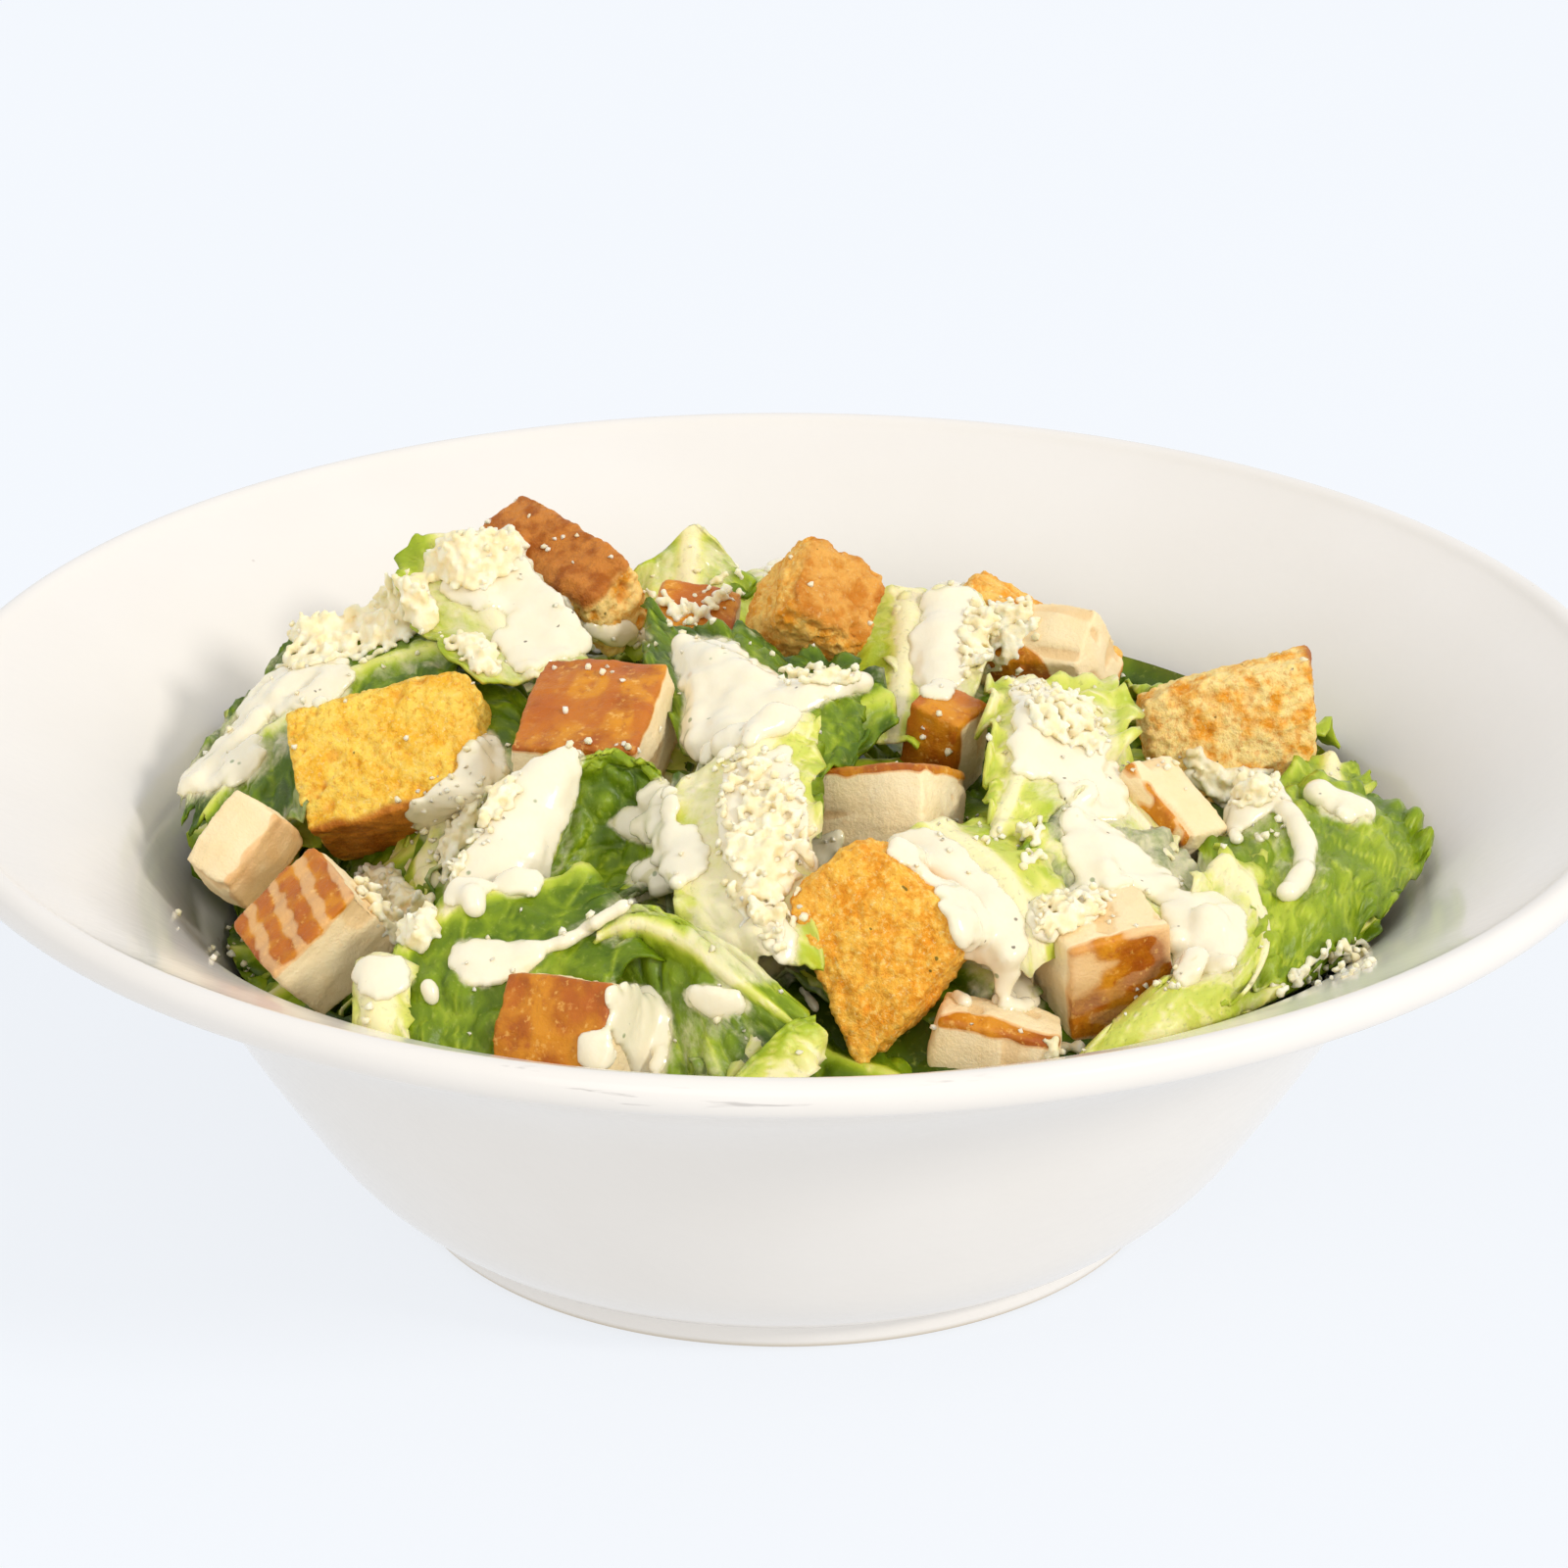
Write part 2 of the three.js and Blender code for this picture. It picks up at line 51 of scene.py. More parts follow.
class Wire:
    """A socket in a material. Arithmetic on it adds Math nodes."""

    def __init__(self, finish, socket):
        self.finish, self.socket = finish, socket

    def maths(self, operation, first, second):
        return self.finish.node("Math", {"operation": operation}, {0: first, 1: second})

    def __add__(self, other):
        return self.maths("ADD", self, other)

    def __sub__(self, other):
        return self.maths("SUBTRACT", self, other)

    def __mul__(self, other):
        return self.maths("MULTIPLY", self, other)

    def __rsub__(self, other):
        return self.maths("SUBTRACT", other, self)

    __radd__ = __add__

    def between(self, low, high):
        """0 at low and 1 at high, with soft ends. low may be the larger."""
        return self.finish.node("MapRange", {"interpolation_type": "SMOOTHSTEP"},
                                {0: self, 1: low, 2: high, 3: 0.0, 4: 1.0})

    def mixed(self, first, second):
        """Blend of two colours, with this wire as the share of the second."""
        return self.finish.node("Mix", {"data_type": "RGBA"}, {0: self, 6: first, 7: second}, 2)


class Finish:
    """A material being put together."""

    def __init__(self, name):
        self.material = bpy.data.materials.new(name)
        self.material.use_nodes = True
        self.tree = self.material.node_tree
        self.tree.nodes.clear()
        self.place = self.node("TexCoord", {}, {}, 3)

    def node(self, kind, settings=(), values=(), out=0):
        """Adds a node: its type, its settings first, then the values or wires of its sockets."""
        made = self.tree.nodes.new("ShaderNode" + kind)
        for name, value in dict(settings).items():
            if name == "stops":
                for at, _ in value[1:-1]:
                    made.color_ramp.elements.new(at)
                for element, (at, colour) in zip(made.color_ramp.elements, value):
                    element.position, element.color = at, colour
            else:
                setattr(made, name, value)
        for name, value in dict(values).items():
            if isinstance(value, Wire):
                self.tree.links.new(value.socket, made.inputs[name])
            else:
                made.inputs[name].default_value = value
        return Wire(self, made.outputs[out]) if made.outputs else None

    def noise(self, size, detail=2.0, place=None, roughness=0.5):
        """Soft noise from 0 to 1 whose lumps are about size metres across."""
        return self.node("TexNoise", {}, {"Vector": place or self.place, "Scale": 1 / size,
                                          "Detail": detail, "Roughness": roughness})

    def stretched(self, scale):
        """The place on the object, stretched by a share for each axis."""
        return self.node("Mapping", {}, {"Vector": self.place, "Scale": scale})

    def dots(self, scale):
        """Distance to the nearest of scattered dots, as many to the metre as scale says."""
        return self.node("TexVoronoi", {"feature": "F1"}, {"Vector": self.place, "Scale": scale})

    def number(self, name):
        """A value kept on the mesh's own points."""
        return self.node("Attribute", {"attribute_name": name}, {}, 2)

    def arrow(self, name):
        """An arrow or a place kept on the mesh's own points."""
        return self.node("Attribute", {"attribute_name": name}, {}, 1)

    def bump(self, height, strength, distance, normal=None):
        """Relief that only turns the light, over another relief if one is given."""
        values = {"Strength": strength, "Distance": distance, "Height": height}
        if normal:
            values["Normal"] = normal
        return self.node("Bump", {}, values)

    def surface(self, values):
        """The shader that everything feeds, wired to the output."""
        shader = self.node("BsdfPrincipled", {}, values)
        return self.output(shader)

    def output(self, shader):
        self.node("OutputMaterial", {}, {"Surface": shader})
        return self.material


def alone(thing):
    """Makes one object the selected and active one."""
    bpy.ops.object.select_all(action="DESELECT")
    thing.select_set(True)
    bpy.context.view_layer.objects.active = thing


bpy.ops.object.select_all(action="DESELECT")
bpy.ops.mesh.primitive_plane_add(size=6)
table_top = bpy.context.object
table_top.name = "table_top"
paper = Finish("pale_table")
cloudy = paper.noise(0.4).mixed(tint(240, 244, 249), tint(244, 247, 252))
lit = paper.node("BsdfDiffuse", {}, {"Color": cloudy})
glow = paper.node("Emission", {}, {"Color": cloudy, "Strength": 1.0})
table_top.data.materials.append(paper.output(paper.node("MixShader", {}, {0: 0.8, 1: lit, 2: glow})))

world = bpy.data.worlds.new("tent")
bpy.context.scene.world = world
world.use_nodes = True
world.node_tree.nodes["Background"].inputs[0].default_value = tint(244, 247, 252)
world.node_tree.nodes["Background"].inputs[1].default_value = 0.94

bpy.ops.object.light_add(type="SUN", location=(0.6, -0.3, 0.5))
window = bpy.context.object
window.name = "window_light"
window.rotation_euler = Vector((0.66, -0.52, 0.54)).to_track_quat("Z", "Y").to_euler()
window.data.energy = 1.35
window.data.angle = math.radians(10)
window.data.color = (1.0, 0.975, 0.935)

bpy.ops.object.light_add(type="AREA", location=(-0.15, -1.05, 0.75),
                         rotation=(math.radians(57), 0, math.radians(-8)))
front = bpy.context.object
front.name = "front_softbox"
front.data.size = 0.9
front.data.energy = 2.2
front.data.color = (1.0, 0.96, 0.90)

MM = 0.001                          # a millimetre, in metres
EYE = (0, -729.7, 377.8)            # where the camera stands, in millimetres
LOOKS_DOWN = 23.53                  # degrees below level
LEVEL, SLOPED = 0.9168, 0.3992      # cosine and sine of that
FOCAL, MIDDLE = 5796.1, 800         # focal length and middle, in spots of the 1600 across its view
SENSOR = 36                         # width of the sensor, in millimetres
bpy.ops.object.camera_add(location=[c * MM for c in EYE],
                          rotation=(math.radians(90 - LOOKS_DOWN), 0, 0))
camera = bpy.context.object
camera.data.lens = FOCAL / (2 * MIDDLE) * SENSOR
camera.data.sensor_width = SENSOR
camera.data.clip_start = 0.05
bpy.context.scene.camera = camera
bpy.context.scene.view_settings.view_transform = "Standard"


# ---------------------------------------------------------------- bowl
# A thrown stoneware bowl with a wide flaring rim and a rolled lip, dipped in an off-white glossy
# glaze. Its foot ring is wiped bare. Years of stacking have left faint grey scuffs on the lip.
WALL = [  # radius and height in millimetres, from under the foot, out over the lip, into the well
    (0, 2.5), (30, 2.5), (46.5, 2.5), (47.4, 0.9), (48.6, 0), (53.2, 0), (54.2, 0.7), (54.9, 3.6),
    (55.6, 4.6), (58.6, 5.8), (65.3, 12), (71, 20), (77.4, 30), (83.3, 40), (89, 48.5), (96, 55.5),
    (105, 61.5), (113.5, 65.7), (117.2, 67.3), (118.2, 67.6), (119.4, 68.3), (120, 70.0), (119.7, 71.6),
    (118.5, 72.6), (117.0, 72.5), (115.4, 71.5), (113.6, 70.6), (106, 67), (97, 61.6), (89.5, 55.4),
    (83.5, 47.5), (78, 38), (72, 28), (65.5, 18.5), (58, 11.5), (48, 8), (24, 6.7), (0, 6.5),
]


def flowing(points, steps):
    """A smooth line through the given points, steps pieces to each."""
    points = np.array(points, float)
    padded = np.vstack([2 * points[0] - points[1], points, 2 * points[-1] - points[-2]])
    line = []
    for a, b, c, d in zip(padded, padded[1:], padded[2:], padded[3:]):
        gap = np.linalg.norm(c - b)
        into = (c - a) / (np.linalg.norm(b - a) + gap) * gap
        away = (d - b) / (np.linalg.norm(d - c) + gap) * gap
        for t in np.arange(steps) / steps:
            line.append((2 * t**3 - 3 * t**2 + 1) * b + (t**3 - 2 * t**2 + t) * into
                        + (3 * t**2 - 2 * t**3) * c + (t**3 - t**2) * away)
    return np.array(line + [points[-1]])


def thrown(name, section, steps):
    """Turns a section of radius and height, in metres, about the upright axis."""
    bpy.ops.object.select_all(action="DESELECT")
    bpy.ops.mesh.primitive_circle_add(vertices=len(section), radius=0.1)
    pot = bpy.context.object
    pot.name = name
    for vertex, (radius, height) in zip(pot.data.vertices, section):
        vertex.co = (max(radius, 0), 0, height)
    bpy.ops.object.mode_set(mode="EDIT")
    bpy.ops.mesh.select_mode(type="EDGE")
    bpy.ops.mesh.select_all(action="DESELECT")
    bpy.ops.object.mode_set(mode="OBJECT")
    for edge in pot.data.edges:
        edge.select = {0, len(section) - 1} == set(edge.vertices)
    bpy.ops.object.mode_set(mode="EDIT")
    bpy.ops.mesh.delete(type="EDGE")
    bpy.ops.mesh.select_all(action="SELECT")
    bpy.ops.mesh.spin(steps=steps, angle=2 * math.pi, center=(0, 0, 0), axis=(0, 0, 1))
    bpy.ops.mesh.select_all(action="SELECT")
    bpy.ops.mesh.remove_doubles(threshold=0.00001)
    bpy.ops.mesh.normals_make_consistent(inside=False)
    bpy.ops.object.mode_set(mode="OBJECT")
    bpy.ops.object.shade_smooth()
    return pot


bowl = thrown("stoneware_bowl", flowing(WALL, steps=4) * MM, steps=192)
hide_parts("bowl")
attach(bowl, "root")

glaze = Finish("off_white_glaze")
across, deep, up = (glaze.node("SeparateXYZ", {}, {0: glaze.place}, i) for i in range(3))
pooled = glaze.noise(0.03, 3.0)
body = pooled.mixed(tint(229, 222, 212), tint(235, 229, 221))
thin_glaze = up.between(0.0014, 0.0004)
body = thin_glaze.mixed(body, tint(205, 192, 172))
specks = glaze.dots(160.0).between(0.07, 0.035)
rare = glaze.noise(0.011, 1.0).between(0.66, 0.72)
body = (specks * rare * 0.5).mixed(body, tint(150, 128, 110))
near_lip = (up.between(0.0655, 0.0675) * deep.between(-0.108, -0.114)
            * across.between(-0.060, -0.045) * across.between(0.030, 0.012))
dragged = glaze.noise(0.004, 4.0, glaze.stretched((0.12, 1.0, 2.6)), 0.7)
scuffs = near_lip * dragged.between(0.60, 0.68)
body = (scuffs * 0.42).mixed(body, tint(128, 120, 114))
rings = glaze.node("TexWave", {"bands_direction": "Z"},
                   {"Vector": glaze.place, "Scale": 115.0, "Distortion": 0.4, "Detail": 1.0})
level_part = glaze.stretched((1.0, 1.0, 0.0))
from_axis = glaze.node("VectorMath", {"operation": "LENGTH"}, {0: level_part}, 1)
outside = (from_axis - up * 1.5).between(0.0135, 0.0175)
throwing = rings * up.between(0.058, 0.062) * up.between(0.0685, 0.067) * outside * 0.5
orange_peel = glaze.noise(0.0022, 1.0)
relief = glaze.bump(throwing, 0.35, 0.0005, glaze.bump(orange_peel + pooled * 2.0, 0.08, 0.0004))
bowl.data.materials.append(glaze.surface({
    "Base Color": body, "Roughness": 0.13 + pooled * 0.08 + scuffs * 0.3 + thin_glaze * 0.6,
    "Normal": relief, "IOR": 1.5, "Specular IOR Level": 0.5,
}))


# ---------------------------------------------------------------- chicken
# Grilled chicken breast cut into cubes: cream, fibrous cut faces, and the outside of the breast
# browned on the grill, oily and blotched. The cubes are dropped on the salad and stay as they fall.
CHICKEN = [  # centre and size in millimetres, turn about Z, X, Y in degrees, fibre axis, browned faces
    ((-25.2, -20.9, 74.3), (18.5, 20.5, 17), (-13, 17, -4), 1, ["+z dark"]),
    ((-73.5, -24, 60.5), (9, 13, 11.5), (-50, 42, 20), 1, ["-z", "+x golden"]),
    ((-61.5, -50, 60.5), (15, 16, 13), (-68, 40, 10), 1, ["+z striped"]),
    ((-26.8, -76, 59), (16, 14.5, 12.5), (-27, -32, -6), 2, ["-y blotchy"]),
    ((14, -36.5, 72), (17, 14, 12), (-30, -26, -14), 0, ["+z thin"]),
    ((21.5, -17, 71), (9, 9, 20), (-35, 5, 12), 2, ["+z dark", "-y dark"]),
    ((37, 14, 73), (18, 11.5, 14), (-23, 32, -8), 0, ["-z", "-y under"]),
    ((50, -31.5, 67.4), (9.6, 14.5, 14), (41, 31, 8), 1, ["-x patchy"]),
    ((41, -61, 61), (16, 13.5, 16), (26, 5, -4), 2, ["-y mottled"]),
    ((27.3, -72.6, 55.2), (16.6, 9.5, 9.5), (-8, 4, 10), 2, ["+z rim"]),
    ((-13, 19, 75), (12, 11, 11), (-10, 20, 10), 0, ["+z dark"]),
]


WAVE = 6.28                         # one ripple of a sine, in radians


def scatter(cells, seed):
    """Repeatable numbers from 0 to 1, one for every whole-numbered cell."""
    x, y, z = (cells[..., k] for k in range(3))
    n = (x * 374761393 + y * 668265263 + z * 2147483647 + seed * 974634777) & 0xFFFFFFFF
    n = ((n ^ (n >> 13)) * 1274126177) & 0xFFFFFFFF
    n = ((n ^ (n >> 16)) * 2246822519) & 0xFFFFFFFF
    return ((n ^ (n >> 15)) & 0xFFFFFF) / 16777215.0


def cloud(points, size, seed=0):
    """Smooth noise from -1 to 1. size is a lump's width, or one width for each axis."""
    p = points / np.array(size, float) + 0.37
    low = np.floor(p).astype(np.int64)
    f = p - low
    f = f * f * (3 - 2 * f)
    total = np.zeros(len(p))
    for corner in np.ndindex(2, 2, 2):
        corner = np.array(corner)
        total += np.prod(np.where(corner, f, 1 - f), axis=1) * scatter(low + corner, seed)
    return total * 2 - 1


def pores(points, size, seed=0):
    """Distance to the nearest and the second nearest of scattered seeds, in cell widths."""
    p = points / size
    low = np.floor(p).astype(np.int64)
    first, second = np.full(len(p), 9.0), np.full(len(p), 9.0)
    for step in np.ndindex(3, 3, 3):
        cell = low + np.array(step) - 1
        seeds = cell + np.stack([scatter(cell, seed + k) for k in (1, 2, 3)], axis=1)
        d = np.linalg.norm(p - seeds, axis=1)
        second = np.minimum(second, np.maximum(first, d))
        first = np.minimum(first, d)
    return first, second


def ease(low, high, x):
    """0 at low and 1 at high, with soft ends. low may be the larger."""
    t = np.clip((x - low) / (high - low), 0, 1)
    return t * t * (3 - 2 * t)


def fetched(mesh, name="co"):
    """The places, in metres, or the normals of all points of a mesh."""
    values = np.empty(len(mesh.vertices) * 3, np.float32)
    mesh.vertices.foreach_get(name, values)
    return values.reshape(-1, 3).astype(float)


def moved(mesh, points):
    """Puts the points of a mesh in new places, in metres."""
    mesh.vertices.foreach_set("co", np.asarray(points, np.float32).ravel())
    mesh.update()


def raised(mesh, height):
    """Moves every point along its normal by a height in metres, one for all or one for each."""
    moved(mesh, fetched(mesh) + fetched(mesh, "normal") * np.reshape(height, (-1, 1)))


def keep(mesh, **kept):
    """Keeps values or arrows on every point of a mesh, by name, for its material."""
    for name, values in kept.items():
        kind, key = ("FLOAT", "value") if values.ndim == 1 else ("FLOAT_VECTOR", "vector")
        layer = mesh.attributes.new(name, kind, "POINT")
        layer.data.foreach_set(key, np.asarray(values, np.float32).ravel())


def applied(thing, kind, **settings):
    """Adds a modifier to the active object and applies it."""
    modifier = thing.modifiers.new(kind.lower(), kind)
    for name, value in settings.items():
        setattr(modifier, name, value)
    bpy.ops.object.modifier_apply(modifier=modifier.name)


def fine_skin(node, name, voxel, rounds):
    """A copy of a cut cube with a fine even skin, its facets rubbed soft."""
    cube = bpy.data.objects.new(name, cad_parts[node].data.copy())
    bpy.context.scene.collection.objects.link(cube)
    cube.data.materials.clear()
    alone(cube)
    bpy.ops.object.mode_set(mode="EDIT")
    bpy.ops.mesh.select_all(action="SELECT")
    bpy.ops.mesh.remove_doubles(threshold=0.00001)
    bpy.ops.object.mode_set(mode="OBJECT")
    applied(cube, "REMESH", mode="VOXEL", voxel_size=voxel)
    applied(cube, "SMOOTH", factor=0.5, iterations=rounds)
    bpy.ops.object.shade_smooth()
    return cube


def turned(turn):
    """The turn of a cube, given in degrees about Z, X and Y."""
    rz, rx, ry = (math.radians(a) for a in turn)
    return np.array(Matrix.Rotation(rz, 3, "Z") @ Matrix.Rotation(rx, 3, "X") @ Matrix.Rotation(ry, 3, "Y"))


def depth_below(own, size, face):
    """How deep each point lies below one face of its cube, in millimetres."""
    axis = "xyz".index(face[1])
    return size[axis] / 2 - own[:, axis] * (1 if face[0] == "+" else -1)


chicken = Finish("grilled_chicken")
own_place = chicken.arrow("cut")
sear, char, fibre = chicken.number("sear"), chicken.number("char"), chicken.number("fibre")
meat = chicken.noise(5.0, 3.0, own_place).mixed(tint(243, 211, 152), tint(252, 235, 195))
# Darker tan where the cut face sinks between its fibres: painted shade in the grooves.
meat = (fibre.between(0.35, 1.0) * 0.45).mixed(meat, tint(226, 178, 108))
stain = chicken.noise(2.2, 4.0, own_place, 0.65).between(0.60, 0.78)
meat = (stain * 0.35).mixed(meat, tint(236, 180, 104))
blotch = chicken.noise(6.5, 4.0, own_place, 0.55)
gold = blotch.between(0.36, 0.60).mixed(tint(218, 142, 26), tint(180, 98, 10))
gold = (blotch.between(0.54, 0.66) * 0.75).mixed(gold, tint(160, 78, 18))
gold = (chicken.noise(1.6, 3.0, own_place, 0.6).between(0.55, 0.72) * 0.6).mixed(gold, tint(176, 90, 22))
gold = (chicken.noise(1.1, 3.0, own_place, 0.6).between(0.44, 0.30) * 0.6).mixed(gold, tint(244, 188, 96))
gold = (char.between(0.25, 0.8) * 0.75).mixed(gold, tint(190, 100, 22))
flesh = sear.between(0.25, 0.72).mixed(meat, gold)
flesh = (sear.between(0.12, 0.3) * sear.between(0.62, 0.42) * 0.5).mixed(flesh, tint(232, 168, 92))
grain = chicken.noise(0.45, 3.0, own_place, 0.65)
chicken_finish = chicken.surface({
    "Base Color": flesh, "Roughness": 0.50 - sear * 0.16 + grain * 0.12, "Specular IOR Level": 0.3,
    "Subsurface Weight": 0.10, "Subsurface Radius": (1.0, 0.7, 0.4), "Subsurface Scale": 0.0014,
    "Coat Weight": sear * 0.06, "Coat Roughness": 0.25,
    "Normal": chicken.bump(grain + fibre * 0.5, 0.5, 0.00035),
})

for i, (at, size, turn, along, browned) in enumerate(CHICKEN):
    name = f"chicken_{i + 1}"
    cube = fine_skin(name, f"chicken_cube_{i + 1}", voxel=0.00042, rounds=7)
    mesh = cube.data
    own = (fetched(mesh) * 1000 - at) @ turned(turn)
    long = np.where(np.arange(3) == along, 7.0, 1.0)
    strands = cloud(own, 1.25 * long, i) * 0.6 + cloud(own, 0.6 * long, i + 40) * 0.4
    split = ease(0.30, 0.62, cloud(own, 2.6 * np.where(np.arange(3) == along, 5.0, 1.0), i + 7))
    sear_mask, char_mask = np.zeros(len(own)), np.zeros(len(own))
    ragged = cloud(own, 2.2, i + 11)
    for face in browned:
        style = (face.split() + ["full"])[1]
        below = depth_below(own, size, face)
        reach = {"thin": 1.2, "under": 3.4}.get(style, 0.9)
        crust = ease(reach + 0.9, reach - 0.1, below - 0.5 * ragged)
        if style == "patchy":
            crust *= 0.78 * ease(-0.22, 0.24, cloud(own, 5.5, i + 5) + 0.45 * cloud(own, 1.5, i + 6))
        if style == "striped":
            a, b = [k for k in range(3) if k != "xyz".index(face[1])]
            lines = np.sin((own[:, b] * 0.96 + own[:, a] * 0.2) * WAVE / 4.4 + 0.6 * ragged)
            breaks = np.sin((own[:, a] - own[:, b] * 0.2) * WAVE / 4.7 + 1.1 * cloud(own, 3.5, i + 2))
            rows = (ease(-0.7, 0.5, lines + 0.5 * cloud(own, 1.3, i + 8))
                    * (0.55 + 0.45 * ease(-0.9, 0.2, breaks + 0.6 * ragged)))
            char_mask = np.maximum(char_mask, 0.75 * crust * rows)
            crust *= 0.50 + 0.50 * rows
        if style == "dark":
            drift = own + (1.8, 1.0, 1.8) * np.stack([ragged, cloud(own, 3.1, i + 12), ragged], axis=1)
            burnt = ease(-0.4, 0.4, cloud(drift, (3.4, 6, 3.4), i + 9) + 0.4 * ragged)
            char_mask = np.maximum(char_mask, crust * (0.25 + 0.5 * burnt))
        if style == "blotchy":
            burnt = ease(-0.05, 0.5, cloud(own, 4.6, i + 9) + 0.35 * ragged)
            char_mask = np.maximum(char_mask, crust * 0.6 * burnt)
        if style == "mottled":
            crust *= (0.30 + 0.30 * ease(-0.3, 0.3, cloud(own, 5.5, i + 5))
                      + 0.30 * ease(0.05, 0.45, cloud(own, (4.5, 2, 1.6), i + 6)))
        if style == "golden":
            crust *= 0.34 + 0.12 * ragged
        if style == "rim":
            crust *= ease(-size[1] / 2 + 3.2, -size[1] / 2 + 1.6, own[:, 1] + 0.8 * ragged)
        if style == "under":
            beside = own[:, 0] + 1
            crust *= (ease(7.8, 5.6, np.abs(beside) + 0.8 * ragged)
                      * ease(3.6, 2.6, below + 0.12 * beside ** 2 - 0.4 * ragged))
        sear_mask = np.maximum(sear_mask, crust)
    blisters = np.abs(cloud(own, 2.1, i + 21)) * 0.8 + np.abs(cloud(own, 1.0, i + 22)) * 0.4
    relief = (1 - sear_mask) * (0.17 * strands - 0.42 * split + 0.05 * cloud(own, 0.5, i))
    relief += sear_mask * (0.30 * (0.45 - blisters)) + 0.34 * cloud(own, 5.5, i + 31) - 0.10 * char_mask
    raised(mesh, relief * MM)
    # The fibre mask follows the grooves between the strands, so its darker tan is painted shade.
    keep(mesh, cut=own, sear=sear_mask, char=char_mask,
         fibre=np.clip(split + 0.45 * (0.5 - strands), 0, 1) * (1 - sear_mask))
    mesh.materials.append(chicken_finish)
    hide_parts(name)
    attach(cube, "root")


# ---------------------------------------------------------------- croutons
# Cubes of white bread tossed in oil and herbs and baked: a golden crumb full of pores, darker and
# crisper along the edges, and on some cubes a smooth side of brown crust from the loaf.

# Centre and size in millimetres, turn about Z, X, Y in degrees, crust faces. Then, from 0 to 1:
# how toasted, how open its pores, how gritty, how pale, and how lemon-gold its crumb is.
CROUTONS = [
    ((-53, -12, 68), (26, 18, 19), (-15, -38, -22), ["-z"], 0.05, 0.8, 0.6, 0.0, 1.0),
    ((-31.4, 31, 79.4), (26, 10.5, 13), (-54, 29, 10), ["+z"], 0.06, 1.0, 0.2, 0.8, 0.0),
    ((3.8, 7.4, 82.9), (13.6, 14.4, 16.8), (-13, 29, 38), ["+z glossy"], 0.34, 1.0, 0.5, 0.3, 0.0),
    ((63, -4, 69), (25.5, 10, 19), (2, -12, -14), ["+x"], 0.12, 0.7, 0.6, 1.0, 0.0),
    ((11.3, -66.4, 64.9), (19, 13, 25), (-15, -22, 32), [], 0.02, 0.5, 0.7, 0.0, 0.0),
    ((35, 33, 66), (25, 13, 14), (-14, -8, 26), [], 0.18, 1.0, 0.3, 0.3, 0.0),
]

bread = Finish("toasted_bread")
own_place = bread.arrow("cut")
crust, pit, toast = bread.number("crust"), bread.number("pit"), bread.number("toast")
grit, pale, lemon = bread.number("grit"), bread.number("pale"), bread.number("lemon")
patch = bread.noise(3.4, 4.0, own_place, 0.6)
light_gold = lemon.mixed(tint(250, 190, 72), tint(254, 214, 92))
deep_gold = lemon.mixed(tint(238, 156, 34), tint(244, 184, 48))
crumb = patch.between(0.35, 0.66).mixed(light_gold, deep_gold)
crumb = (pale * patch.between(0.66, 0.40) * 0.9).mixed(crumb, tint(255, 228, 154))
baked = patch.between(0.32, 0.60).mixed(tint(236, 158, 52), tint(202, 110, 24))
crumb = (toast.between(0.15, 1.0) * 0.9).mixed(crumb, baked)
fleck = bread.noise(0.6, 3.0, own_place, 0.7)
crumb = (fleck.between(0.58, 0.72) * 0.35).mixed(crumb, tint(216, 128, 28))
crumb = (fleck.between(0.44, 0.30) * 0.6).mixed(crumb, tint(253, 230, 160))
grains = bread.noise(0.75, 2.0, own_place, 0.6)
crumb = (grit * grains.between(0.50, 0.34) * 0.75).mixed(crumb, tint(254, 214, 116))
crumb = (grit * grains.between(0.56, 0.66) * 0.7).mixed(crumb, tint(218, 130, 30))
# Darker orange in the holes: painted shade in the pores.
crumb = (pit.between(0.15, 0.8) * 0.6).mixed(crumb, tint(226, 146, 40))
shell = patch.between(0.38, 0.62).mixed(tint(205, 120, 34), tint(162, 82, 14))
toasted = (crust * 0.92).mixed(crumb, shell)
herb = bread.noise(1.1, 0.0, own_place).between(0.855, 0.875)
toasted = (herb * 0.8).mixed(toasted, tint(96, 92, 30))
dust = bread.noise(0.3, 3.0, own_place, 0.7)
bread_finish = bread.surface({
    "Base Color": toasted, "Roughness": 0.62 - crust * 0.22 + fleck * 0.12, "Specular IOR Level": 0.2,
    "Subsurface Weight": 0.10, "Subsurface Radius": (1.0, 0.6, 0.25), "Subsurface Scale": 0.0012,
    "Normal": bread.bump(dust + fleck * 1.2 - grains * 1.4, 0.5, 0.0004),
})

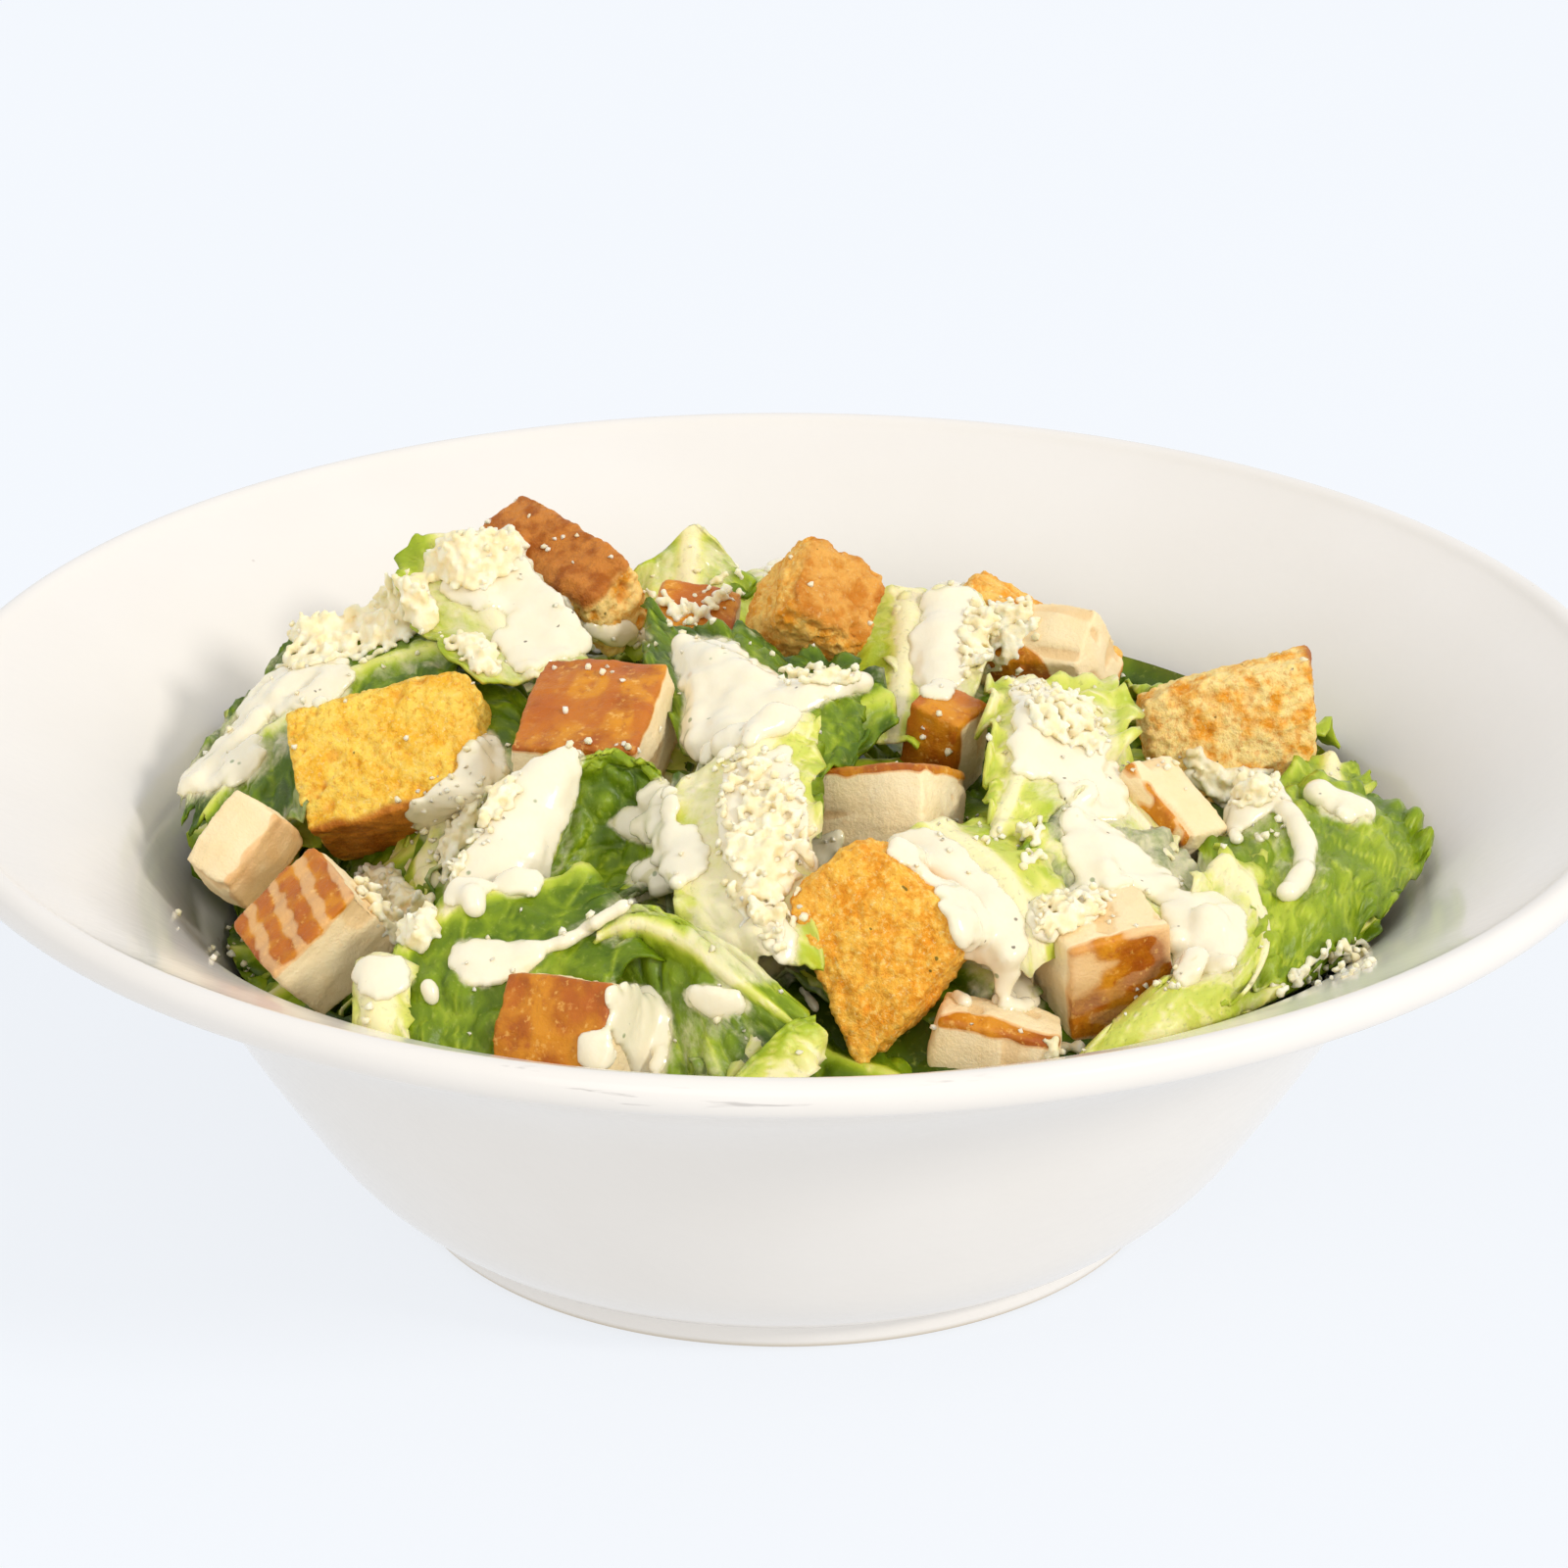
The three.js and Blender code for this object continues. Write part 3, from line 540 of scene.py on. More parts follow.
for i, (at, size, turn, shells, toasting, coarse, gritty, pallor, lemony) in enumerate(CROUTONS):
    name = f"crouton_{i + 1}"
    cube = fine_skin(name, f"crouton_cube_{i + 1}", voxel=0.00040, rounds=6)
    mesh = cube.data
    own = (fetched(mesh) * 1000 - at) @ turned(turn)
    crust_mask = np.zeros(len(own))
    for face in shells:
        skin = ease(1.9, 0.7, depth_below(own, size, face) - 0.6 * cloud(own, 2.5, i + 4))
        crust_mask = np.maximum(crust_mask, skin * (0.45 if "glossy" in face else 1.0))
    outward = np.sort(np.abs(own) / (np.array(size) / 2), axis=1)
    edge = ease(1.55, 1.95, outward[:, 1] + outward[:, 2])
    large, _ = pores(own, 3.1, i + 50)
    small, _ = pores(own, 1.35, i + 60)
    tiny, _ = pores(own, 0.8, i + 70)
    holes = ease(0.55, 0.15, large + 0.25 * cloud(own, 1.2, i + 85))
    holes = holes * ease(0.0, 0.5, cloud(own, 4.0, i + 80)) * coarse ** 2
    fine = ease(0.55, 0.1, small + 0.2 * cloud(own, 0.6, i + 86)) * ease(-0.5, 0.3, cloud(own, 2.2, i + 87))
    relief = -(0.95 * holes + 0.58 * fine * coarse + 0.20 * ease(0.5, 0.2, tiny))
    relief *= 1 - 0.85 * crust_mask
    relief += 0.18 * cloud(own, 1.6, i + 90) * (1 - 0.6 * crust_mask) + 0.28 * cloud(own, 5.0, i + 91)
    relief += 0.30 * cloud(own, 0.85, i + 92) * (1 - 0.5 * crust_mask)
    raised(mesh, (relief + 0.15) * MM)
    browning = toasting + 0.55 * edge * (0.5 + 0.5 * cloud(own, 3.0, i)) + 0.22 * cloud(own, 6.0, i + 95)
    # The pit value is the depth of the holes, where the crumb's colour is darkened: painted shade in the
    # pores.
    keep(mesh, cut=own, crust=crust_mask, grit=np.full(len(own), gritty) * (1 - crust_mask),
         pale=np.full(len(own), pallor), lemon=np.full(len(own), lemony),
         pit=np.clip(holes + 0.5 * fine, 0, 1), toast=np.clip(browning, 0, 1))
    mesh.materials.append(bread_finish)
    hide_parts(name)
    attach(cube, "root")


# ---------------------------------------------------------------- chopped romaine in the well
# The bulk of the salad: chopped leaf packed down into the bowl, up to a low crown. It is turned to
# the inside of the bowl, a hair clear of the glaze, and only its crumpled top shows in the gaps. It is
# given a dark tone, which is painted shade for those deep gaps.
def crown(x, y):
    """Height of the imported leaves' top, in millimetres."""
    k = WAVE / 26
    ripple = np.sin(k * (x + 0.7 * y) + 8.5) + np.sin(k * y + 11.5) + np.sin(k * 0.8 * x + 15.5)
    return 71 - 20 * ((x / 90) ** 2 + ((y + 8) / 82) ** 2) + 0.6 * ripple


def hollow(x, y):
    """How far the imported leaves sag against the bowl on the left, where two cubes of chicken lie."""
    t = np.clip((-0.9 * x - 0.45 * y - 48) / 22, 0, 1)
    return 0.85 * t * t * (3 - 2 * t)


def bed(x, y):
    """Height that a scrap of leaf lies at."""
    height = crown(x, y)
    return float(height - hollow(x, y) * np.maximum(height - 38, 0))


def drawn_in(points, room):
    """Points drawn towards the bowl's axis where they stand out further than there is room."""
    reach = np.hypot(points[:, 0], points[:, 1])
    points[:, :2] *= np.minimum(1, room / np.maximum(reach, 0.01))[:, None]
    return points


inside_bowl = np.array([(0, 8.2), (46.5, 9.4), (56.8, 13), (70.9, 29), (82.4, 48.6), (84.6, 52)])
top_rings = np.array([(r, 60) for r in np.arange(84.8, 0.5, -1.1)] + [(0, 60)])
packed = thrown("packed_romaine", np.vstack([inside_bowl, top_rings]) * MM, steps=200)
points = fetched(packed.data) * 1000
on_top = points[:, 2] > 52.5
reach = np.hypot(points[:, 0], points[:, 1])
crumple = cloud(points, 7.0, 3) * 1.4 + np.abs(cloud(points, 4.0, 4)) * 1.2
fade = ease(85, 80, reach)
sunk = 3.2 + 6.0 * ease(66, 84, reach) * ease(30, 0, points[:, 0])
points[on_top, 2] = (crown(points[:, 0], points[:, 1]) - sunk + crumple * fade)[on_top]
points[:, 2] -= hollow(points[:, 0], points[:, 1]) * np.maximum(points[:, 2] - 34, 0)
points = drawn_in(points, np.interp(points[:, 2], [8.2, 13, 29, 48.6, 60], [46, 56.5, 70.4, 82.2, 90]))
moved(packed.data, points * MM)
# A dark tone for the packed leaves: painted shade for the deep gaps they are seen through.
keep(packed.data, flat=points, tone=0.12 + 0.20 * cloud(points, 9.0, 8),
     vein=ease(0.12, 0.0, np.abs(cloud(points, 5.0, 12))) * 0.6)


# ---------------------------------------------------------------- torn romaine leaves
# Hand-torn romaine: thin crinkled blades that curl, with sunk pale veins, puckered green between
# them, frilled margins, thick pale ribs, and lime to yellow hearts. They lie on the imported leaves.

# Three points along the spine, one on each edge at mid length, relative width of the two ends,
# colour from 0 dark to 1 pale, where the rib runs from one edge, -1, to the other, and the frill.
LEAVES = [
    # left side
    ((-47, 8, 78), (-67, 6, 71), (-80.5, -15, 61), (-72, 18, 71), (-60, -16, 69),
     (0.8, 0.62), 0.18, 0.1, 0.1),
    ((-46, 20, 89), (-40.5, 10, 82.5), (-33, -8, 79), (-53, 12, 82), (-30, 6, 82.5),
     (0.6, 0.8), 0.62, -0.1, 0.3),
    ((-45, 10, 77), (-41, -4, 75), (-38, -26, 70), (-47, -4, 72), (-35, -6, 74), (0.8, 0.8), 0.24, 1.5, 0.5),
    ((-51, -67, 64), (-52, -72, 61), (-51, -76, 56), (-55, -70, 60), (-48, -73, 60), (0.9, 1), 0.8, 0, 0.3),
    # under the big curled leaf left of the middle
    ((-20, -64, 69), (-38, -70, 65), (-48, -77, 57), (-44, -60, 69), (-32, -76, 60),
     (0.8, 0.8), 0.26, -0.9, 0.5),
    # front and centre
    ((-1, -35, 84), (-6, -54, 77.5), (-1, -73, 66.5), (-16, -53, 73), (4, -52, 78), (0.6, 0.6), 0.76, 0, 0.7),
    ((3, -27, 82), (1, -40, 79), (3, -49, 74), (-2, -38, 78), (5, -37, 78), (0.6, 0.5), 0.34, 0, 0.4),
    ((-8, -36, 78), (-12, -44, 76), (-17, -48, 74), (-14, -38, 77), (-9, -49, 76), (0.6, 0.5), 0.2, 1.5, 0.6),
    ((14, -17, 81), (7, -23, 81), (-1, -32, 78), (6, -19, 84), (10, -28, 77), (0.7, 0.6), 0.14, 0.2, 0.8),
    ((-19, 2, 81), (-4, -20, 83), (11, -22, 82), (-5, -1, 83), (-6, -38, 78), (0.5, 0.6), 0.24, 1.5, 0.6),
    # along the back of the view
    ((-13, 38, 84), (-14, 34, 79), (-14, 24, 72), (-22, 33, 76), (-4, 33, 76), (0.1, 1), 0.58, 0, 0.3),
    ((16, 16, 83), (15, 2, 79), (13, -20, 74), (9, 0, 78), (21, 0, 79), (0.8, 0.8), 0.6, 0.3, 0.8),
    ((23, 14, 83), (22, 4, 80), (21, -12, 76), (14, 6, 79), (29, 4, 80), (0.7, 0.6), 0.82, 0, 0.9),
    # right side
    ((35, -11, 81), (35, -31, 79), (29, -49, 73), (27, -34, 79), (46, -25, 77), (0.9, 0.3), 0.74, -0.3, 1.2),
    ((34, -34, 75), (42, -32, 74), (51, -45, 68), (44, -17, 75), (39, -42, 72), (0.6, 0.6), 0.66, 0, 0.5),
    ((34, -45, 74), (45, -50, 69), (60, -60, 62), (51, -40, 70), (39, -58, 66), (0.7, 0.8), 0.16, 0.3, 0.8),
    ((56, -48, 69), (63, -56, 65), (59, -69, 60), (65, -45, 65), (55, -63, 63), (0.5, 0.4), 0.62, 0, 1.4),
    ((87, -20, 63), (72, -43, 68), (58, -58, 63), (65, -25, 70), (75, -53, 61), (0.35, 0.8), 0.4, 1.5, 0.9),
    ((76, -6, 66), (74, -19, 66), (70, -32, 65), (67, -19, 68), (81, -12, 64), (0.5, 0.8), 0.5, 0, 0.7),
    ((18, -49, 75), (26, -58, 73), (32, -70, 66), (19, -60, 69), (35, -50, 71), (0.7, 0.5), 0.7, 0.1, 1.3),
    ((37, -81, 56), (50, -76, 62), (62, -67, 57), (54, -65, 63), (50, -76, 55), (0.4, 0.5), 0.7, 1.5, 2.2),
    # low in the gaps at the front
    ((-50, -71, 56), (-42, -74, 56), (-33, -77, 56), (-42, -64, 58), (-43, -77, 54),
     (0.8, 0.8), 0.22, 0, 0.4),
    ((22, -60, 63), (27, -64, 60), (33, -66, 55), (22, -68, 56), (31, -58, 60), (0.8, 0.8), 0.16, 0, 0.5),
    ((58, -66, 58.5), (70, -54, 59), (80, -40, 59.5), (74, -50, 62.5), (67, -61, 55.5),
     (0.7, 0.6), 0.2, 0, 0.6),
    # the far side of the heap
    ((-2, 32, 77), (-4, 52, 71), (-6, 76, 58), (-22, 50, 66), (15, 53, 65), (0.7, 0.6), 0.34, 0, 0.8),
    ((-38, 38, 74), (-50, 48, 66), (-60, 62, 55), (-66, 36, 62), (-32, 60, 63), (0.7, 0.6), 0.18, 0.1, 0.8),
    ((-58, 16, 74), (-69, 25, 67), (-78, 36, 58), (-73, 13, 63), (-58, 40, 64), (0.7, 0.6), 0.62, 0, 0.9),
    ((22, 42, 70), (28, 56, 65), (34, 74, 57), (10, 60, 64), (46, 50, 60), (0.7, 0.6), 0.24, -0.1, 0.8),
    ((56, 28, 62), (64, 37, 57), (70, 45, 52), (54, 50, 51), (77, 24, 57), (0.7, 0.6), 0.52, 0, 0.9),
    ((-20, 47, 70), (-26, 60, 65), (-30, 74, 58), (-42, 54, 60), (-10, 64, 62), (0.7, 0.6), 0.72, 0, 1.2),
    ((50, 12, 66), (60, 17, 61), (69, 20, 57), (60, 32, 55), (64, 5, 58.5), (0.7, 0.5), 0.24, 0.1, 0.9),
    ((10, 28, 72), (14, 44, 68), (16, 60, 63), (-2, 44, 65), (30, 44, 65), (0.7, 0.6), 0.46, 0, 0.8),
    # low at the front, under a crouton
    ((-2, -72, 55), (7, -78, 53.5), (18, -82, 50), (10, -70, 54), (3, -84, 50), (0.7, 0.7), 0.24, -0.3, 0.7),
    ((-2, -76, 60), (-4, -80, 58), (-8, -84, 54), (3, -78, 57), (-11, -79, 57), (0.7, 0.5), 0.3, 0, 0.7),
]
SEEDS = [1, 2, 3, 4, 7, *range(9, 38)]                 # one for the veins and tears of each
WAVES = {13: 3, 16: 3, 17: 3, 19: 3, 20: 3}            # ripples along an edge, where not two
THICK = {3: 2.6}                                       # millimetres, where not half a millimetre
VEIN_GAP = 7.5                                         # millimetres from one side vein to the next
# How far from the axis there is room in the bowl: height and radius in millimetres
BOWL_ROOM = np.array([(8.8, 47), (12.3, 57.3), (28.5, 71.4), (48, 83), (56, 89.1), (62.3, 96.7), (72, 113)])

# Leaves that fold over on themselves: rows of points from the far edge to the near one. A point is
# where it is seen, across and down out of 1600, and its y in millimetres. Then the colours of the
# rows, rib, frill and how stout the rib is.
FOLDS = [
    # the big curled leaf: its hollow, its outer side turned to the left, its front lobe
    ([[(566, 784, -39), (600, 773, -38), (634, 768, -37.5), (668, 784, -38), (690, 820, -40)],
      [(574, 806, -39), (603, 792, -37.5), (638, 788, -37), (668, 804, -37.5), (684, 836, -40)],
      [(560, 866, -43), (600, 850, -41), (638, 846, -40), (668, 850, -41), (698, 852, -44)],
      [(538, 908, -49), (582, 892, -45), (630, 884, -45), (672, 886, -48), (706, 882, -51)],
      [(456, 922, -58), (520, 916, -55), (580, 922, -52), (622, 916, -51), (660, 900, -52)],
      [(440, 962, -62), (500, 968, -60), (552, 962, -57), (602, 944, -54), (640, 922, -53)]],
     (0.52, 0.16, 0.20, 0.26, 0.12, 0.30), 1.5, 0.25, 1.0),
    ([[(552, 774, -37), (572, 768, -37), (588, 778, -38)],
      [(515, 802, -42), (556, 812, -43), (584, 820, -42)],
      [(488, 852, -48), (528, 864, -50), (566, 866, -47)],
      [(462, 902, -55), (504, 912, -57), (548, 910, -53)]],
     (0.6, 0.7, 0.6, 0.5), 1.5, 0.3, 1.0),
    ([[(648, 834, -42), (682, 838, -43), (706, 845, -44)],
      [(658, 860, -46), (692, 862, -48), (722, 868, -47)],
      [(650, 888, -49), (685, 888, -51), (718, 886, -50)],
      [(632, 908, -51), (680, 906, -53), (718, 901, -52)]],
     (0.3, 0.3, 0.4, 0.62), 1.5, 0.25, 1.0),
    # in front of it: one with a pale rib under its far edge, its hollow towards the lip
    ([[(606, 940, -66), (650, 924, -66), (704, 938, -68), (762, 976, -73), (826, 1034, -77)],
      [(606, 956, -67), (650, 940, -67), (700, 958, -70), (752, 1000, -75), (818, 1050, -79)],
      [(600, 985, -67), (650, 985, -68), (692, 1005, -71), (738, 1036, -77), (798, 1070, -81)],
      [(612, 1040, -69), (655, 1040, -72), (690, 1055, -76), (732, 1080, -81), (778, 1100, -84)],
      [(615, 1095, -71), (660, 1100, -77), (690, 1106, -81), (725, 1116, -84), (760, 1122, -85.5)]],
     (0.52, 0.40, 0.18, 0.26, 0.36), -0.48, 0.25, 0.55),
    ([[(742, 1108, -86), (772, 1075, -84), (805, 1045, -82), (832, 1036, -80)],
      [(762, 1115, -87), (790, 1090, -85), (818, 1068, -83), (842, 1054, -80.5)],
      [(790, 1122, -88), (812, 1108, -86.5), (832, 1095, -84.5), (846, 1080, -82)]],
     (0.62, 0.84, 0.92), 1.5, 0.8, 1.0),
]


def clear_of_glaze(points):
    """Points in millimetres, drawn in where they would enter the bowl."""
    return drawn_in(points, np.interp(points[:, 2], *BOWL_ROOM.T) - 0.6)


def bowed(start, middle, end, t):
    """A curve through three values or places, for t from 0 to 1."""
    return start * (1 - t) * (1 - 2 * t) + middle * 4 * t * (1 - t) + end * t * (2 * t - 1)


def rolled(spine, edges, ends, seed, waves):
    """Sheet over a spine and two edges: its length, its half width, and a function that gives the
    places and facing of the points at u 0 to 1 along it and v -1 to 1 across it."""
    s0, s1, s2 = (np.array(p, float) for p in spine)
    a, b = (np.array(p, float) for p in edges)
    face = np.cross(s2 - s0, b - a)
    face *= (1 if face[2] > 0 else -1) / np.linalg.norm(face)

    def sheet(u, v):
        width = np.maximum(0.06, bowed(ends[0], 1, ends[1], u))
        width *= 1 + 0.06 * np.sin(25 * u + 3 * seed)
        points = bowed(s0, s1, s2, u[:, None])
        points += (b - a) / 2 * (width * v)[:, None] + ((a + b) / 2 - s1) * (width * v * v)[:, None]
        wave = 1.2 * v * v * np.sin(WAVE * waves * u + seed + np.where(v < 0, 1.7, 0))
        return points + face * wave[:, None], face, width

    return np.linalg.norm(s1 - s0) + np.linalg.norm(s2 - s1), np.linalg.norm(b - a) / 2, sheet


def draped(rows):
    """Sheet through rows of spots in the camera's view, each with its y in millimetres."""
    across, down, y = np.moveaxis(np.array(rows, float), -1, 0)
    slope, away = (MIDDLE - down) / FOCAL, y - EYE[1]
    rise = away * (LEVEL * slope - SLOPED) / (LEVEL + SLOPED * slope)
    x = (across - MIDDLE) / FOCAL * (LEVEL * away - SLOPED * rise)
    net = np.stack([x, y, rise + EYE[2]], axis=-1)

    def shares(x, count):
        """How much each of a row of count points gives to a smooth line through them, at x 0 to 1."""
        x = np.clip(x, 0, 1) * (count - 1)
        i = np.minimum(x.astype(int), count - 2)
        f = x - i
        found = np.zeros((len(x), count))
        parts = [-f + 2 * f**2 - f**3, 2 - 5 * f**2 + 3 * f**3, f + 4 * f**2 - 3 * f**3, f**3 - f**2]
        for step, part in enumerate(parts):
            at = i + step - 1
            before, after = at < 0, at >= count
            gains = {0: np.where(before | after, 0, 1), 1: np.where(before, 2, 0),
                     2: np.where(before, -1, 0), -1: np.where(after, 2, 0), -2: np.where(after, -1, 0)}
            for shift, gain in gains.items():
                np.add.at(found, (np.arange(len(x)), np.clip(at + shift, 0, count - 1)), part * gain / 2)
        return found

    def place(u, v):
        """Places on the sheet, in millimetres."""
        return np.einsum("nr,nc,rck->nk", shares((v + 1) / 2, net.shape[0]), shares(u, net.shape[1]), net)

    def sheet(u, v):
        e = 0.01
        across = place(np.minimum(u + e, 1), v) - place(np.maximum(u - e, 0), v)
        down = place(u, np.minimum(v + e, 1)) - place(u, np.maximum(v - e, -1))
        points, face = place(u, v), np.cross(across, down)
        towards = np.sum(face * (np.array(EYE) - points), axis=1)
        gain = np.where(towards < 0, -1, 1) / np.maximum(np.linalg.norm(face, axis=1), 1e-9)
        return points, face * gain[:, None], 1.0

    length = np.linalg.norm(np.diff(net, axis=1), axis=2).sum(axis=1).mean()
    return length, np.linalg.norm(np.diff(net, axis=0), axis=2).sum(axis=0).mean() / 2, sheet


def lay_leaf(sheet, colour, rib, frill, seed, cell, thick=0.5, stout=1.0):
    """One torn leaf grown over a sheet, with veins, puckers and a torn, frilled margin. cell, the
    width of its mesh, and thick are in millimetres, and stout is the rib's width beside a plain one's."""
    length, half, sheet = sheet
    bpy.ops.object.select_all(action="DESELECT")
    bpy.ops.mesh.primitive_grid_add(x_subdivisions=max(8, int(length / cell)),
                                    y_subdivisions=max(8, int(2.2 * half / cell)), size=2)
    blade = bpy.context.object
    u, v = (fetched(blade.data)[:, :2] / (2, 1) + (0.5, 0)).T
    margin = np.maximum(np.abs(v), np.abs(2 * u - 1))
    layer = np.full(len(u), seed * 7.7)
    line = np.stack([u * length, v * half, layer], axis=1)
    lengthwise, crosswise = line * (1, 0.15, 1), line * (0.15, 1, 1)
    tear = cloud(lengthwise, 4.5, seed) * 0.09 + cloud(lengthwise, 1.7, seed + 1) * 0.045
    rip = cloud(crosswise, 4.5, seed + 2) * 0.09 + cloud(crosswise, 1.7, seed + 3) * 0.04
    v = v * (1 + tear * max(1.0, frill) * np.abs(v) ** 3)
    u = 0.5 + (u - 0.5) * (1 + rip * np.abs(2 * u - 1) ** 3)
    points, face, width = sheet(u, v)

    along, beside = u * length, v * half * width
    from_rib = np.abs(beside - rib * half)
    where = np.stack([along, beside, layer], axis=1)
    bent = along - 0.75 * from_rib + 1.6 * cloud(where, 9.0, seed + 5)
    branch = np.abs((bent / VEIN_GAP) % 1 - 0.5) * VEIN_GAP
    branch = np.exp(-((VEIN_GAP / 2 - branch) / 0.35) ** 2) * ease(0.0, 3.0, from_rib)
    branch = branch * ease(-0.6, 0.2, cloud(where, 7.0, seed + 9))
    drift = np.stack([cloud(where, 3.0, seed + 13), cloud(where, 3.0, seed + 14), where[:, 2] * 0], axis=1)
    first, second = pores(where + 1.4 * drift, 4.6, seed)
    small, other = pores(where + 1.1 * drift, 2.3, seed + 20)
    net = ease(0.14, 0.02, second - first) * ease(-0.6, 0.2, cloud(where, 5.0, seed + 15))
    stem = np.exp(-((from_rib / (stout * (1.0 + 1.1 * (1 - u)))) ** 2)) * (abs(rib) < 1.2)
    tone = np.interp(v, np.linspace(-1, 1, len(np.atleast_1d(colour))), np.atleast_1d(colour))
    pucker = np.where(tone < 0.6, 0.95, 0.5) * (ease(0.0, 0.55, second - first) - 0.45)
    pucker += np.where(tone < 0.6, 0.38, 0.2) * (ease(0.0, 0.6, other - small) - 0.45)
    wrinkle = (0.95 * cloud(where, 7.5, seed + 6) + 0.40 * cloud(where, 3.4, seed + 16)) * min(1, half / 9)
    ripples = np.sin(WAVE * along / 6.1 + 2.0 * cloud(where, 6.0, seed + 7))
    ripples = ripples + 0.6 * np.sin(WAVE * beside / 4.3 + seed)
    curl = frill * (ease(0.55, 1.0, margin) ** 2) * ripples
    lift = pucker * (1 - stem) + wrinkle - 0.30 * branch - 0.10 * net + 0.8 * stout * stem + curl
    points = clear_of_glaze(points + face * lift[:, None])
    moved(blade.data, points * MM)
    # The tone is paler where the blade rises and darker where it sinks: painted light and shade on the
    # puckers, wrinkles and curls, over the leaf's own colour.
    tone = (tone + (0.30 + 0.16 * stout) * stem + 0.13 * cloud(where, 8.0, seed + 8)
            - 0.06 * ease(0.5, 1.0, margin) * (1 - stem) + 0.12 * ease(-0.2, 0.8, lift))
    keep(blade.data, flat=where, tone=tone, vein=np.maximum(branch, 0.7 * net))
    applied(blade, "SOLIDIFY", thickness=thick * MM, offset=0)
    bpy.ops.object.shade_smooth()
    return blade


def gathered(name, blades):
    """Blades of leaf joined into one piece."""
    bpy.ops.object.select_all(action="DESELECT")
    for blade in blades:
        blade.select_set(True)
    bpy.context.view_layer.objects.active = blades[0]
    bpy.ops.object.join()
    blades[0].name = name
    return blades[0]


leaf = Finish("romaine_leaf")
# The tone kept on the leaves is their own colour with painted shade in it: dark on the packed leaves, and
# paler on the raised parts of the blades than in their hollows.
flat, tone, vein = leaf.arrow("flat"), leaf.number("tone"), leaf.number("vein")
mottle = leaf.noise(7.0, 3.0, flat)
shade = tone + (mottle - 0.5) * 0.26 + vein * 0.28
green = leaf.node("ValToRGB", {"stops": [
    (0.0, tint(44, 62, 2)), (0.22, tint(82, 108, 6)), (0.42, tint(126, 148, 18)),
    (0.62, tint(176, 190, 50)), (0.80, tint(216, 216, 104)), (1.0, tint(244, 234, 178)),
]}, {0: shade})
fine = leaf.noise(0.9, 3.0, flat, 0.6)
green = (fine.between(0.55, 0.8) * 0.25).mixed(green, tint(216, 222, 110))
green = (fine.between(0.45, 0.25) * 0.30).mixed(green, tint(52, 78, 4))
smear = leaf.number("smear")
streaks = leaf.noise(2.2, 4.0, flat, 0.6)
coated = (smear + (streaks - 0.5) * 0.9).between(0.30, 0.85)
green = (coated * 0.74).mixed(green, tint(240, 228, 188))
leaf_finish = leaf.surface({
    "Base Color": green, "Roughness": 0.40 - mottle * 0.10 - coated * 0.06, "Subsurface Weight": 0.20,
    "Subsurface Radius": (0.6, 1.0, 0.10), "Subsurface Scale": 0.0014, "Specular IOR Level": 0.26,
    "Coat Weight": coated * 0.25, "Coat Roughness": 0.10,
    "Normal": leaf.bump(fine + vein * 1.2, 0.40, 0.0003),
})

packed.data.materials.append(leaf_finish)
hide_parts("romaine_salad")
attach(packed, "root")

blades = []
for i, (*points, ends, colour, rib, frill) in enumerate(LEAVES):
    sheet = rolled(points[:3], points[3:], ends, SEEDS[i], WAVES.get(i, 2))
    blades.append(lay_leaf(sheet, colour, rib, frill, SEEDS[i], cell=0.8, thick=THICK.get(i, 0.5)))
folds = [lay_leaf(draped(rows), colours, rib, frill, 60 + i, cell=0.6, stout=stout)
         for i, (rows, colours, rib, frill, stout) in enumerate(FOLDS)]
leaf_pieces = [
    gathered("romaine_left", [*folds[:3], *blades[0:5], blades[21]]),
    gathered("romaine_middle", [*folds[3:], *blades[5:13], blades[22], *blades[32:]]),
    gathered("romaine_right", [*blades[13:21], blades[23]]),
    gathered("romaine_far_side", blades[24:32]),
]

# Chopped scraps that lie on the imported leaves, between and under the big ones, clear of the cubes
eye = camera.matrix_basis.copy()
bpy.context.view_layer.update()
STREWN, AT_THE_WALL = 230, 84       # scraps tried over the bed, and in a ring along the bowl's wall
SCRAP_CELL = 1.45                   # width of their mesh, in millimetres
ANY_WAY = 6.283                     # a heading drawn at random is under this, in radians

# The heap's upper outline, as the camera sees it: nothing chopped or poured stands over it
SKYLINE = np.array([(150, 905), (182, 842), (200, 772), (262, 700), (285, 655), (330, 605), (420, 575),
                    (432, 550), (470, 540), (520, 508), (560, 508), (650, 572), (665, 592), (700, 548),
                    (720, 548), (765, 610), (800, 560), (850, 538), (905, 562), (915, 640), (950, 605),
                    (985, 592), (1060, 592), (1140, 632), (1160, 700), (1210, 700), (1338, 668),
                    (1345, 780), (1400, 800), (1455, 835), (1450, 905)])


def viewed(points):
    """Spots out of 1600 at which points, in metres, are seen."""
    own = (points - np.array(eye.translation)) @ np.array(eye.to_3x3())
    return MIDDLE - FOCAL * own[:, 0] / own[:, 2], MIDDLE + FOCAL * own[:, 1] / own[:, 2]


def over_the_top(places, margin=0):
    """Which places, in metres, would be seen over a line that many spots under the heap's outline."""
    x, y = viewed(np.atleast_2d(places))
    return y < np.interp(x, *SKYLINE.T) + margin


def met(start, way, **limit):
    """Point, normal and name of what a line meets first, in metres, or nothing if that is the table."""
    hit, place, normal, _, what, _ = bpy.context.scene.ray_cast(
        bpy.context.view_layer.depsgraph, start, way, **limit)
    if not hit or what == table_top:
        return None
    return place, normal if normal.dot(way) < 0 else -normal, what.name


def in_the_way(place):
    """Whether a place, in millimetres, is in front of a cube or leaf, or less than 4 behind it."""
    way = Vector(place) * MM - eye.translation
    hit = met(eye.translation, way.normalized())
    if not hit or not hit[2].startswith(("chicken", "crouton", "romaine")):
        return False
    return (hit[0] - eye.translation).length > way.length - 0.004


